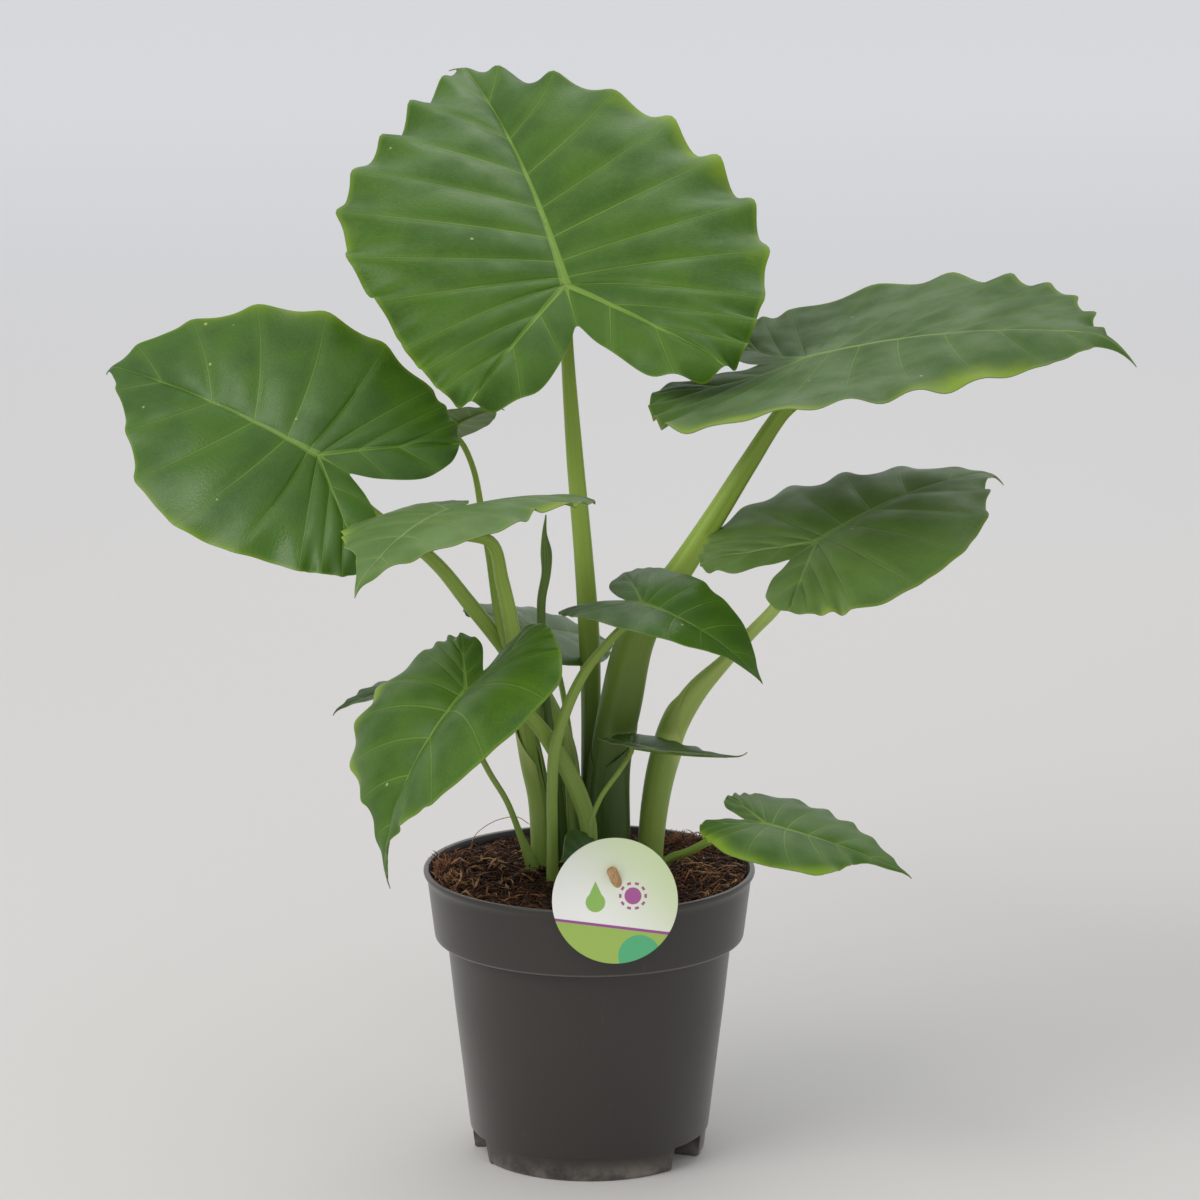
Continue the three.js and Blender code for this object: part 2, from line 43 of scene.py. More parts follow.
# The frame's driving sizes
POT_HEIGHT = 185
RIM_RADIUS = 105
RIM_INNER = 101.6
FOOT_HEIGHT = 15.2
NOTCH_ANGLES = [17, 148, 197, 328]
NOTCH_WIDTH = 27
NOTCH_INNER = 52
NOTCH_OUTER = 90
NOTCH_SHELL = 1.8
SHELL_OUTER = 73.5
DRAIN_RADIUS = 3.5
DRAIN_AT = 62
ROOTED_TO = 162
LABEL_RADIUS = 38.6
LABEL_THICKNESS = 1.2
LABEL_CENTRE = (16, -104.4, 192)
LABEL_TILT = 12
PEG_RADIUS = 3.3
PEG_FOOT = (31, -80.5, 165)
PEG_TIP = (13.4, -106.9, 213.2)
PEG_REACH = 0.98
BLADE_THICKNESS = 0.55
SHEATH_THICKNESS = 0.5

# The heights of the pot's ledge under the rim and of where its lip starts, along which thin highlight
# lines are painted, and the substrate inside it
POT_LEDGE = 141.6
POT_LIP = 184.3
CRUST_RADIUS = 99.2
CRUST_FOOT = 172
COIR_RADIUS = 98

# The height over which stalks change from their lower to their upper green
TONE_HEIGHT = 600

# Outline of a half blade: distance from the junction to the margin as a share of the length, by the
# angle from the midrib, and the angles at which a leaf may be fuller or slimmer than that
OUTLINE_ANGLES = [0, 9, 22, 45, 70, 95, 120, 142, 158, 170, 180]
OUTLINE_SHARES = [1, 0.83, 0.7, 0.615, 0.575, 0.555, 0.565, 0.59, 0.48, 0.28, 0.14]
FULLNESS_ANGLES = [15, 45, 95, 145]
PLAIN = [1, 1, 1, 1]

# Where the veins run: the lobe vein's angle, the foremost angle that the side veins leave the junction
# at, the lobe's share of the margin, and how far the lobe vein and the midrib reach
LOBE_ANGLE = 142
SIDE_ANGLE = 115
LOBE_SHARE = 0.3
LOBE_VEIN_REACH = 0.85
LOBE_VEINS = 3
SIDE_VEIN_START = 1.8
SIDE_VEIN_SWING = 1.58
MIDRIB_REACH = 0.97
VEIN_BOW = 0.05
VEIN_STEP = 0.01

# The drawn-out tip: how many degrees off the midrib it ends, and its hook's length in tail lengths
TAIL_ANGLE = 1.1
HOOK_TAILS = 1.8

# A blade's half width as a share of its length, the longest blade, and the length from which a blade
# gets a finer mesh
HALF_WIDTH_SHARE = 0.56
LONGEST_BLADE = 269
BIG_BLADE = 120

# Each leaf as in the frame, and its finish, the side veins to a half, the depth of its quilting, of its
# margin's scallops (waves) and of its margin's ruffles in millimetres, the length of its drawn-out tip,
# the tip's hook (to the left, down) and its yellowed places: side, place along the margin (0 lobe, 1
# tip), reach and strength. A stalk runs through its points (x, y, z, radius).
LEAVES = {
    "top": dict(
        at=(-15, 45, 550), heading=104, rise=34, roll=-8, length=269, droop=17, sweep=8, fold=16,
        edge=10, lobes=1, left=[1.05, 1, 0.79, 0.8], right=[1, 0.94, 0.85, 0.81], finish="fresh",
        veins=8, quilt=4.6, waves=7, ruffle=9, tail=6, hook=(9, 3),
        yellow=[(-1, 0.62, 0.14, 0.7), (-1, 0.42, 0.1, 0.4), (1, 0.5, 0.08, 0.4), (1, 0.25, 0.08, 0.4)],
        stalk=[(2, 30, 187, 6.7), (1, 31, 220, 6.3), (1, 35, 285, 6.3), (0, 38, 324, 6.7),
               (-4, 45, 381, 6), (-9, 50, 438, 5.4), (-14, 54, 510, 4.1)]),
    "right_high": dict(
        at=(135, 15, 509), heading=-25, rise=17, roll=9, length=231, droop=16, sweep=-15, fold=-7,
        edge=-8, lobes=-45, left=[1.04, 1.07, 1.17, 0.72], right=[1.1, 1.11, 1.08, 0.72],
        finish="sheen", veins=8, quilt=3.8, waves=5, ruffle=4.5, tail=20, hook=(-6, 16),
        yellow=[(-1, 0.42, 0.13, 1.0), (-1, 0.72, 0.1, 0.9)],
        stalk=[(11, 6, 203, 14.3), (13, 6, 252, 12.7), (20, 6, 291, 13.3), (29, 8, 330, 12),
               (44, 9, 357, 9.5), (57, 11, 375, 8.2), (78, 14, 407, 7), (100, 18, 442, 6),
               (120, 22, 472, 5.1)]),
    "left_high": dict(
        at=(-169, 0, 450), heading=160, rise=25, roll=-47, length=170, droop=27, sweep=1, fold=10,
        edge=8, lobes=16, left=[1.02, 1.05, 0.86, 0.84], right=[1.09, 1.07, 0.89, 0.88],
        finish="waxy", veins=6, quilt=3.8, waves=4, ruffle=3.5, tail=8, hook=(2, 9),
        yellow=[(1, 0.45, 0.3, 0.5), (-1, 0.6, 0.3, 0.5)],
        stalk=[(-14, 26, 198, 5.4), (-14, 25, 228, 6.3), (-18, 22, 258, 6.3), (-31, 18, 289, 5.7),
               (-53, 12, 324, 5.1), (-77, 8, 356, 4.8), (-93, 6, 377, 4.4), (-109, 6, 392, 4.1),
               (-136, 8, 412, 3.8)]),
    "left_mid": dict(
        at=(-86, -65, 428), heading=245, rise=2, roll=8, length=135, droop=26, sweep=-1, fold=5,
        edge=14, lobes=6, left=[0.97, 0.96, 0.79, 1.28], right=[0.91, 0.82, 0.88, 1.18],
        finish="pale", veins=6, quilt=2.2, waves=3, ruffle=3, tail=8, hook=(0, 4),
        yellow=[(1, 0.3, 0.12, 0.9), (-1, 0.6, 0.12, 0.7)],
        stalk=[(-30, 0, 182, 5.6), (-32, 0, 228, 5.6), (-37, -2, 254, 5.4), (-42, -8, 294, 5.2),
               (-48, -20, 344, 4.9), (-54, -34, 378, 4.5), (-60, -46, 404, 3.8)]),
    "back_small": dict(
        at=(-87, 60, 458), heading=-35, rise=28, roll=-18, length=44, droop=13, sweep=0, fold=9,
        edge=6, lobes=14, left=PLAIN, right=PLAIN, finish="deep", veins=5, quilt=0.8, waves=0.4, ruffle=0.5,
        tail=3, hook=(2, 2), yellow=[],
        stalk=[(-27, 10, 184, 4.4), (-29, 10, 230, 4.1), (-33, 8, 255, 3.8), (-40, 5, 286, 3.5),
               (-50, 2, 322, 2.9), (-57, 6, 345, 2.5), (-63, 24, 380, 2.2), (-68, 40, 406, 2.2),
               (-73, 52, 430, 1.9), (-80, 57, 446, 1.9)]),
    "left_low": dict(
        at=(-75, -85, 319), heading=227, rise=-30, roll=10, length=137, droop=65, sweep=-37, fold=22,
        edge=15, lobes=-25, left=[0.94, 1.04, 1.07, 0.78], right=[0.98, 1.18, 0.99, 0.64],
        finish="fresh", veins=6, quilt=2.6, waves=3.5, ruffle=3, tail=8, hook=(4, 2),
        yellow=[(-1, 0.45, 0.12, 0.9), (-1, 0.66, 0.1, 0.8), (1, 0.75, 0.08, 0.5)],
        stalk=[(0, -24, 202, 5.2), (-1, -24, 221, 5.4), (-10, -24, 247, 5.6), (-21, -25, 267, 5.4),
               (-33, -31, 286, 4.6), (-45, -44, 300, 3.8)]),
    "left_small": dict(
        at=(-101, 5, 299), heading=194, rise=5, roll=4, length=65, droop=29, sweep=3, fold=10, edge=5,
        lobes=15, left=PLAIN, right=PLAIN, finish="deep", veins=5, quilt=1, waves=1, ruffle=1.2,
        tail=4, hook=(2, 2),
        yellow=[],
        stalk=[(-36, -12, 187, 4.1), (-44, -14, 211, 2.2), (-52, -15, 232, 1.9), (-62, -15, 249, 1.9),
               (-69, -14, 262, 1.9), (-80, -10, 278, 1.9), (-91, -3, 288, 1.9)]),
    "centre": dict(
        at=(33, -45, 365), heading=-41, rise=-4, roll=13, length=96, droop=53, sweep=21, fold=14,
        edge=3, lobes=27, left=[1.03, 0.8, 0.72, 0.98], right=[0.89, 0.8, 0.77, 0.92],
        finish="waxy", veins=6, quilt=1.4, waves=0.6, ruffle=0.6, tail=5, hook=(4, 3), yellow=[],
        stalk=[(-23, -34, 189, 3.8), (-23, -36, 216, 3.5), (-23, -38, 248, 3.5), (-21, -38, 273, 3.8),
               (-13, -37, 299, 3.5), (-2, -36, 321, 3.2), (8, -36, 334, 2.9), (20, -39, 348, 2.5)]),
    "right_mid": dict(
        at=(141, -35, 402), heading=34, rise=23, roll=7, length=161, droop=29, sweep=8, fold=9,
        edge=17, lobes=-6, left=[1.03, 0.96, 0.89, 0.77], right=[0.99, 1.02, 0.94, 0.87],
        finish="pale", veins=6, quilt=3.4, waves=4, ruffle=3.5, tail=9, hook=(-3, 8),
        yellow=[(-1, 0.2, 0.12, 0.6), (1, 0.7, 0.1, 0.4)],
        stalk=[(39, 12, 192, 7.6), (42, 11, 225, 8.2), (47, 8, 252, 8.6), (54, 4, 276, 8.2),
               (67, 0, 299, 7), (86, -6, 321, 4.4), (102, -14, 341, 3.8), (116, -22, 358, 3.8),
               (130, -30, 382, 3.5)]),
    "right_narrow": dict(
        at=(27, -30, 272), heading=-25, rise=-6, roll=-8, length=76, droop=-11, sweep=8, fold=12,
        edge=3, lobes=16, left=[0.85, 0.7, 0.6, 0.5], right=[0.85, 0.7, 0.6, 0.5], finish="deep",
        veins=5, quilt=0.8, waves=0.6, ruffle=0.8, tail=4, hook=(0, -3), yellow=[],
        stalk=[(0, -42, 200, 1.9), (0, -42, 220, 1.6), (7, -40, 240, 1.6), (19, -37, 257, 1.6)]),
    "right_low": dict(
        at=(109, -85, 235), heading=-18, rise=-9, roll=6, length=96, droop=17, sweep=11, fold=7,
        edge=10, lobes=1, left=[1.02, 1, 1.02, 0.73], right=[0.87, 1.1, 1.02, 0.76],
        finish="fresh", veins=6, quilt=1.5, waves=2.2, ruffle=2, tail=5, hook=(0, 2),
        yellow=[(-1, 0.3, 0.2, 1), (-1, 0.6, 0.15, 0.8), (1, 0.1, 0.1, 0.5)],
        stalk=[(45, -22, 187, 3.2), (49, -26, 196, 2.9), (63, -40, 206, 2.5), (76, -55, 217, 2.5),
               (90, -68, 225, 2.5)]),
    "back_low": dict(
        at=(-35, 60, 325), heading=42, rise=-10, roll=18, length=80, droop=15, sweep=3, fold=9,
        edge=15, lobes=12, left=PLAIN, right=PLAIN, finish="waxy", veins=5, quilt=1, waves=1, ruffle=1.5,
        tail=4, hook=(0, 2), yellow=[],
        stalk=[(-9, 46, 183, 2.5), (-10, 47, 229, 2.2), (-14, 50, 268, 1.9), (-23, 55, 306, 1.9)]),
    "young": dict(
        at=(2, -60, 208), heading=235, rise=19, roll=-44, length=36, droop=16, sweep=18, fold=10,
        edge=5, lobes=10, left=PLAIN, right=PLAIN, finish="deep", veins=4, quilt=0.5, waves=0.4, ruffle=0.4,
        tail=2, hook=(0, 1), yellow=[],
        stalk=[(5, -56, 188, 1.9), (4, -57, 197, 1.3)]),
}

# The leaf still rolled up and the sheath leaf beside it, each through its points (x, y, z, radius)
NEW_LEAF = [(-17, 10, 193, 3.5), (-21, 8, 239, 3.2), (-26, 7, 279, 2.8), (-29, 7, 318, 2.6),
            (-30, 6, 356, 2.8), (-27, 6, 374, 3), (-27, 6, 387, 3.6), (-28, 6, 399, 1.6),
            (-27, 6, 411, 0.4)]
SHEATH_LEAF = [(-10, 13, 192, 3), (-12, 13, 225, 2.8), (-14, 12, 261, 2.4), (-15, 12, 274, 1.8),
               (-14, 12, 284, 0.4)]

# Sheaths round the stalks' lower parts: stalk, height of the lip, degrees wrapped, slack, the open
# side's direction, how far the lip stands off, and whether it is a deep green one, darker low down
# partly with painted shade
SHEATHS = {
    "pale_crown_sheath": ("left_high", 338, 300, 2.4, (-1, 0.3, 0), 2.5, False),
    "right_sheath": ("right_mid", 300, 290, 0.5, (0.8, 0.6, 0), 1, False),
    "middle_sheath": ("right_high", 296, 320, 0.5, (-0.6, -1, 0), 0, True),
    "left_sheath": ("left_mid", 300, 300, 0.8, (1, -0.6, 0), 1, False),
}

# The substrate's top as radius and height, the heaps on it as middle, reach and rise, and the banks of
# coarse pale coir as middle and reach
SOIL_TOP = [(0, 184), (40, 183), (70, 181), (88, 179), (100, 178)]
HEAPS = [((-82, -12), (26, 38), 5), ((62, 58), (22, 22), 4), ((84, -20), (22, 36), 3),
         ((-40, 84), (34, 24), 1.5)]
LEFT_BANK = ((-70, -15), (42, 60))
RIGHT_BANK = ((72, -20), (34, 60))

# How many fibres and crumbs lie on it, the points along a fibre, and the long hair's own
COIR_FIBRES = 5800
STRAY_FIBRES = 560
STRAY_ON_LEFT = 340
PEAT_CRUMBS = 1300
FIBRE_KNOTS = 6
LONG_HAIR = [(-77, 44, 181, 1), (-74, 46, 192, 1), (-66, 48, 199, 1), (-56, 50, 203, 1),
             (-46, 50, 204, 1), (-38, 49, 199, 1)]

# The camera, in millimetres and degrees
CAMERA_PLACE = (6.8, -3058, 1029)
CAMERA_TILT = 12.38
CAMERA_LENS = 150
CAMERA_SENSOR = 36

# Lamps, in metres: place, size, power and tint, all aimed at the plant's middle, and the sky's light
LAMPS = {
    "key_light": ((-1.9, -1.7, 2.7), 2.0, 50, (1, 0.98, 0.95)),
    "back_light": ((0.5, 1.8, 2.6), 1.8, 14, (0.96, 0.98, 1)),
}
LAMP_AIM = (0, 0, 0.35)
SKY_TINT = (0.95, 0.965, 1, 1)
SKY_STRENGTH = 0.7

# The floor's size and where it brightens, in metres, its near and far colour and its near and far glow:
# painted light, with the paper lighter and glowing more towards the back
FLOOR_SIZE = 60
FLOOR_BRIGHTENS = (0.6, 6.0)
PAPER_WITH_PAINTED_LIGHT = ((215, 212, 208), (232, 232, 233))
PAPER_GLOW = ((0.01, 0.01, 0.01, 1), (0.12, 0.123, 0.13, 1))


# Meshes

def deselect():
    bpy.ops.object.select_all(action="DESELECT")


def activate(*pieces):
    deselect()
    for piece in pieces:
        piece.select_set(True)
    bpy.context.view_layer.objects.active = pieces[0]


def points_of(piece):
    flat = np.empty(len(piece.data.vertices) * 3)
    piece.data.vertices.foreach_get("co", flat)
    return flat.reshape(-1, 3)


def set_points(piece, points):
    piece.data.vertices.foreach_set("co", np.ascontiguousarray(points, dtype=float).ravel())
    piece.data.update()


def set_attribute(piece, name, values):
    made = piece.data.attributes.new(name, "FLOAT", "POINT")
    made.data.foreach_set("value", np.ascontiguousarray(values, dtype=np.float32))


def set_uv(piece, u, v):
    corners = np.empty(len(piece.data.loops), dtype=np.int32)
    piece.data.loops.foreach_get("vertex_index", corners)
    pairs = np.stack([np.asarray(u)[corners], np.asarray(v)[corners]], axis=1)
    piece.data.uv_layers.active.data.foreach_set("uv", pairs.astype(np.float32).ravel())


def sheet(name, columns, rows, place):
    """A grid shaped by place(s, t), both from 0 to 1, in millimetres."""
    deselect()
    bpy.ops.mesh.primitive_grid_add(x_subdivisions=columns, y_subdivisions=rows, size=1)
    piece = bpy.context.object
    piece.name = name
    flat = points_of(piece)
    s, t = flat[:, 0] + 0.5, flat[:, 1] + 0.5
    set_uv(piece, s, t)
    set_points(piece, place(s, t) * MM)
    return piece, s, t


def new_piece(name, points, faces, edges=()):
    """A piece made of points in millimetres, faces, and edges where it has no faces."""
    mesh = bpy.data.meshes.new(name)
    mesh.from_pydata((np.asarray(points, float) * MM).tolist(), list(edges), faces)
    piece = bpy.data.objects.new(name, mesh)
    bpy.context.scene.collection.objects.link(piece)
    return piece


def edit(piece):
    """Opens a piece in edit mode with all of it selected."""
    activate(piece)
    bpy.ops.object.mode_set(mode="EDIT")
    bpy.ops.mesh.select_all(action="SELECT")


def leave_edit(outwards=True):
    if outwards:
        bpy.ops.mesh.select_all(action="SELECT")
        bpy.ops.mesh.normals_make_consistent(inside=False)
    bpy.ops.object.mode_set(mode="OBJECT")


def weld(piece, distance, outwards=True):
    edit(piece)
    bpy.ops.mesh.remove_doubles(threshold=distance * MM)
    leave_edit(outwards)


def join(name, pieces):
    activate(*pieces)
    bpy.ops.object.join()
    piece = bpy.context.object
    piece.name = name
    piece.data.name = name
    return piece


def modify(piece, kind, **settings):
    activate(piece)
    modifier = piece.modifiers.new(kind.lower(), kind)
    for key, value in settings.items():
        setattr(modifier, key, value)
    bpy.ops.object.modifier_apply(modifier=modifier.name)


def bevel(piece, width, segments, angle):
    modify(piece, "BEVEL", width=width * MM, segments=segments, limit_method="ANGLE",
           angle_limit=math.radians(angle))


def place_upright():
    """Applies the active object's place, turn and size to its mesh."""
    bpy.ops.object.transform_apply(location=True, rotation=True, scale=True)


def rod(name, vertices, radius, depth, centre, turn=(0, 0, 0)):
    """A cylinder, placed by its centre in millimetres and turned about it."""
    deselect()
    bpy.ops.mesh.primitive_cylinder_add(vertices=vertices, radius=radius * MM, depth=depth * MM,
                                        location=[c * MM for c in centre], rotation=turn)
    place_upright()
    piece = bpy.context.object
    piece.name = name
    return piece


def dress(piece, *materials):
    piece.data.materials.clear()
    for material in materials:
        piece.data.materials.append(material)


def complete(piece, material, angle, node=None):
    """Gives a piece its material if it has none yet, its shading and its body, and hides the imported
    part that it stands for."""
    if material:
        dress(piece, material)
    activate(piece)
    bpy.ops.object.shade_smooth_by_angle(angle=math.radians(angle))
    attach(piece, "root")
    if node:
        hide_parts(node)


# Curves

def eased(t, width, start, start_slope, end, end_slope):
    """A cubic from one value to another with a slope at each, where t runs from 0 to 1 over a width."""
    return ((2 * t**3 - 3 * t**2 + 1) * start + (t**3 - 2 * t**2 + t) * width * start_slope
            + (3 * t**2 - 2 * t**3) * end + (t**3 - t**2) * width * end_slope)


def smooth_curve(xs, ys, x):
    """A smooth curve through pairs, level at its far end."""
    xs, ys = np.asarray(xs, float), np.asarray(ys, float)
    slopes = np.empty(len(xs))
    slopes[1:-1] = (ys[2:] - ys[:-2]) / (xs[2:] - xs[:-2])
    slopes[0] = (ys[1] - ys[0]) / (xs[1] - xs[0])
    slopes[-1] = 0
    i = np.clip(np.searchsorted(xs, x) - 1, 0, len(xs) - 2)
    width = xs[i + 1] - xs[i]
    t = np.clip((x - xs[i]) / width, 0, 1)
    return eased(t, width, ys[i], slopes[i], ys[i + 1], slopes[i + 1])


def smooth_path(stations, count):
    """Points, directions and radii at even steps along a smooth line through (x, y, z, radius)."""
    knots = np.asarray(stations, float)
    gaps = np.sqrt(np.linalg.norm(np.diff(knots[:, :3], axis=0), axis=1))
    at = np.concatenate([[0], np.cumsum(gaps)])
    slopes = np.gradient(knots, at, axis=0)
    fine = np.linspace(0, at[-1], count * 8)
    i = np.clip(np.searchsorted(at, fine) - 1, 0, len(at) - 2)
    width = (at[i + 1] - at[i])[:, None]
    t = ((fine - at[i]) / (at[i + 1] - at[i]))[:, None]
    curve = eased(t, width, knots[i], slopes[i], knots[i + 1], slopes[i + 1])
    length = np.concatenate([[0], np.cumsum(np.linalg.norm(np.diff(curve[:, :3], axis=0), axis=1))])
    even = np.linspace(0, length[-1], count)
    line = np.stack([np.interp(even, length, curve[:, k]) for k in range(4)], axis=1)
    along = np.gradient(line[:, :3], axis=0)
    along /= np.linalg.norm(along, axis=1)[:, None]
    return line[:, :3], along, line[:, 3]


def carried_frames(along, first):
    """Side directions square to a line, carried along it without twist from the first."""
    sides = np.empty_like(along)
    side = np.asarray(first, float)
    for k, direction in enumerate(along):
        side = side - direction * side.dot(direction)
        side /= np.linalg.norm(side)
        sides[k] = side
    return sides, np.cross(along, sides)


# Leaf blades

def leaf_axes(leaf):
    heading, rise, roll = (math.radians(leaf[key]) for key in ("heading", "rise", "roll"))
    along = np.array([math.cos(rise) * math.cos(heading), math.cos(rise) * math.sin(heading),
                      math.sin(rise)])
    level = np.array([-math.sin(heading), math.cos(heading), 0])
    left = level * math.cos(roll) + np.cross(along, level) * math.sin(roll)
    return along, left, np.cross(along, left)


def margin_radius(leaf, side, angle):
    values = leaf["left"] if side > 0 else leaf["right"]
    fullness = np.interp(OUTLINE_ANGLES, FULLNESS_ANGLES, values)
    fullness[0] = fullness[-1] = 1
    shares = np.array(OUTLINE_SHARES) * fullness
    drawn_in = leaf["tail"] * (1 - np.exp(-angle / TAIL_ANGLE)) * np.exp(-((angle / 14) ** 2))
    return leaf["length"] * smooth_curve(OUTLINE_ANGLES, shares, angle) - drawn_in


def vein_number(leaf, q):
    """A whole number on each side vein: 0 at the junction, up to the tip, and below 0 on the lobe."""
    ahead = (q - LOBE_SHARE) / (1 - LOBE_SHARE) * leaf["veins"]
    return np.where(q >= LOBE_SHARE, ahead, -LOBE_VEINS * (1 - q / LOBE_SHARE))


def ahead_share(q):
    """How far a place lies along the margin from the junction, 0, to the tip, 1; 0 on the lobe."""
    return np.clip((q - LOBE_SHARE) / (1 - LOBE_SHARE), 0, 1)


def lobe_share(q):
    """How far a place lies from the junction, 0, to the lobe's end, 1; 0 ahead of the junction."""
    return np.clip(1 - q / LOBE_SHARE, 0, 1)


def before_tip(share, steepness):
    """1 along most of the margin and falling to 0 at the tip."""
    return np.clip((1 - share) * steepness, 0, 1)


def scallop(leaf, side, q):
    """How far the margin stands out at the side veins' ends, rounded, and more so towards the tip."""
    n = vein_number(leaf, q)
    share = ahead_share(q)
    lean = 0.35 * np.sin(2 * np.pi * n) * np.clip(share * 4, 0, 1)
    peak = (0.5 + 0.5 * np.cos(2 * np.pi * n + lean)) ** 1.6
    growth = (0.45 + 0.75 * share) * before_tip(share, 5) * (0.75 + 0.25 * np.sin(2.3 * n + side))
    return leaf["waves"] * (peak - 0.3) * growth * np.clip(q * 12, 0, 1)


def flat_point(leaf, side, q, t, inner):
    """A place on the flat blade: q from the lobe's end over the junction to the tip, and t from the
    midrib or lobe vein to the margin."""
    lobe_part, share = lobe_share(q), ahead_share(q)
    start = share ** SIDE_VEIN_START
    lobe = math.radians(LOBE_ANGLE)
    reach = LOBE_VEIN_REACH * margin_radius(leaf, side, LOBE_ANGLE) * lobe_part
    start_u = np.where(q < LOBE_SHARE, reach * math.cos(lobe), start * MIDRIB_REACH * leaf["length"])
    start_v = np.where(q < LOBE_SHARE, reach * math.sin(lobe), 0)
    ahead = SIDE_ANGLE * (1 - share) ** SIDE_VEIN_SWING
    angle = np.where(q < LOBE_SHARE, SIDE_ANGLE + (LOBE_ANGLE - SIDE_ANGLE) * lobe_part, ahead)
    if inner:
        angle = LOBE_ANGLE + (180 - LOBE_ANGLE) * (1 - lobe_part)
    radius = margin_radius(leaf, side, angle)
    if not inner:
        radius = radius + t**3 * scallop(leaf, side, q)
    end_u, end_v = radius * np.cos(np.radians(angle)), radius * np.sin(np.radians(angle))
    span = np.hypot(end_u - start_u, end_v - start_v)
    bow = 4 * VEIN_BOW * span * t * (1 - t) * np.clip(share * 5, 0, 1) * before_tip(share, 4)
    return start_u + (end_u - start_u) * t - bow, side * (start_v + (end_v - start_v) * t)


def bent_point(leaf, u, v):
    """Where a point of the flat blade lies once the blade is bent, folded and hooked."""
    along, left, up = leaf_axes(leaf)
    length = leaf["length"]
    droop, lobes = math.radians(leaf["droop"]), math.radians(leaf["lobes"])
    bend = np.where(u >= 0, droop / length, lobes / (0.6 * length))
    turn = np.where(u >= 0, math.radians(leaf["sweep"]) / length, 0)

    def direction(s):
        return (np.outer(np.cos(bend * s) * np.cos(turn * s), along)
                + np.outer(np.cos(bend * s) * np.sin(turn * s), left) - np.outer(np.sin(bend * s), up))

    steps = 8
    point = np.tile(np.array(leaf["at"], float), (len(u), 1))
    for k in range(steps):
        point += direction(u * (k + 0.5) / steps) * (u / steps)[:, None]
    across = np.outer(-np.sin(turn * u), along) + np.outer(np.cos(turn * u), left)
    above = np.cross(direction(u), across)
    half_width = HALF_WIDTH_SHARE * length
    q = np.abs(v) / half_width
    fold, fall = math.tan(math.radians(leaf["fold"])), math.tan(math.radians(leaf["edge"]))
    height = half_width * (fold * q - (fold + fall) * q**2 / 2)
    tail = HOOK_TAILS * leaf["tail"]
    tip = np.clip((u - length + tail) / tail, 0, 1) ** 2
    aside, down = leaf["hook"]
    return point + across * (v + aside * tip)[:, None] + above * (height - down * tip)[:, None]


def bent_place(leaf, u, v):
    """A place on the bent blade, and the direction that points up from it."""
    du = bent_point(leaf, u + 0.5, v) - bent_point(leaf, u - 0.5, v)
    dv = bent_point(leaf, u, v + 0.5) - bent_point(leaf, u, v - 0.5)
    up = np.cross(du, dv)
    return bent_point(leaf, u, v), up / np.linalg.norm(up, axis=1)[:, None]


def vein_scale(leaf):
    """How stout a leaf's veins are beside those of the longest one."""
    return 0.35 + 0.65 * leaf["length"] / LONGEST_BLADE


def blade_relief(leaf, side, q, t, inner):
    """Height of the quilting between the veins and of the margin's ruffles."""
    n = vein_number(leaf, q)
    panel = np.abs(np.sin(np.pi * n)) ** 0.55
    share = ahead_share(q)
    near_tip = before_tip(share, 4)
    quilting = 0.85 * leaf["quilt"] * panel * np.sin(np.pi * np.clip(t, 0, 1) ** 0.7) * near_tip
    phase = leaf["length"] * 0.37 + side
    unevenness = 1 + 0.5 * np.sin(1.3 * n + phase)
    ruffles = -leaf["ruffle"] * t**5 * np.sin(np.pi * n) ** 2 * unevenness * before_tip(share, 6)
    drift = 0.4 * leaf["ruffle"] * t**3 * np.sin(0.9 * n + 2 * phase) * near_tip
    sinus = lobe_share(q) if inner else 1
    return (quilting * 0.9 + ruffles + drift) * sinus


def blade_patch(leaf, side, inner, columns, rows):
    """One half of a blade from the lobe vein and the midrib to the margin, or the part of its lobe
    beside the sinus, with what the leaf's material reads."""
    top = LOBE_SHARE if inner else 1

    def place(s, t):
        q = s * top
        point, up = bent_place(leaf, *flat_point(leaf, side, q, t, inner))
        return point + up * blade_relief(leaf, side, q, t, inner)[:, None]

    piece, s, t = sheet("patch", columns, rows, place)
    q = s * top
    set_uv(piece, vein_number(leaf, q), t)
    u, v = flat_point(leaf, side, q, t, inner)
    after, before = np.minimum(q + VEIN_STEP, top), np.maximum(q - VEIN_STEP, 0)
    u_after, v_after = flat_point(leaf, side, after, t, inner)
    u_before, v_before = flat_point(leaf, side, before, t, inner)
    numbers = vein_number(leaf, after) - vein_number(leaf, before)
    set_attribute(piece, "spacing", np.hypot(u_after - u_before, v_after - v_before) / numbers)
    lobe = math.radians(LOBE_ANGLE)
    from_lobe_vein = np.abs(u * math.sin(lobe) - np.abs(v) * math.cos(lobe))
    set_attribute(piece, "rib", np.where(q < LOBE_SHARE, from_lobe_vein, np.abs(v)))
    ahead = 0.6 + 3.2 * (1 - ahead_share(q)) ** 1.5
    width = np.where(q < LOBE_SHARE, 0.5 + 1.2 * q / LOBE_SHARE, ahead)
    set_attribute(piece, "rib_width", width * vein_scale(leaf))
    yellowing = np.zeros_like(q)
    for where, place_on, reach, strength in leaf["yellow"]:
        if where == side and not inner:
            near = np.exp(-(((q - place_on) / reach) ** 2)) * np.clip(t, 0, 1) ** 6
            yellowing = np.maximum(yellowing, strength * near)
    set_attribute(piece, "yellowing", yellowing)
    middle_face = piece.data.polygons[len(piece.data.polygons) // 2]
    if np.array(middle_face.normal).dot(leaf_axes(leaf)[2]) < 0:
        piece.data.flip_normals()
    return piece


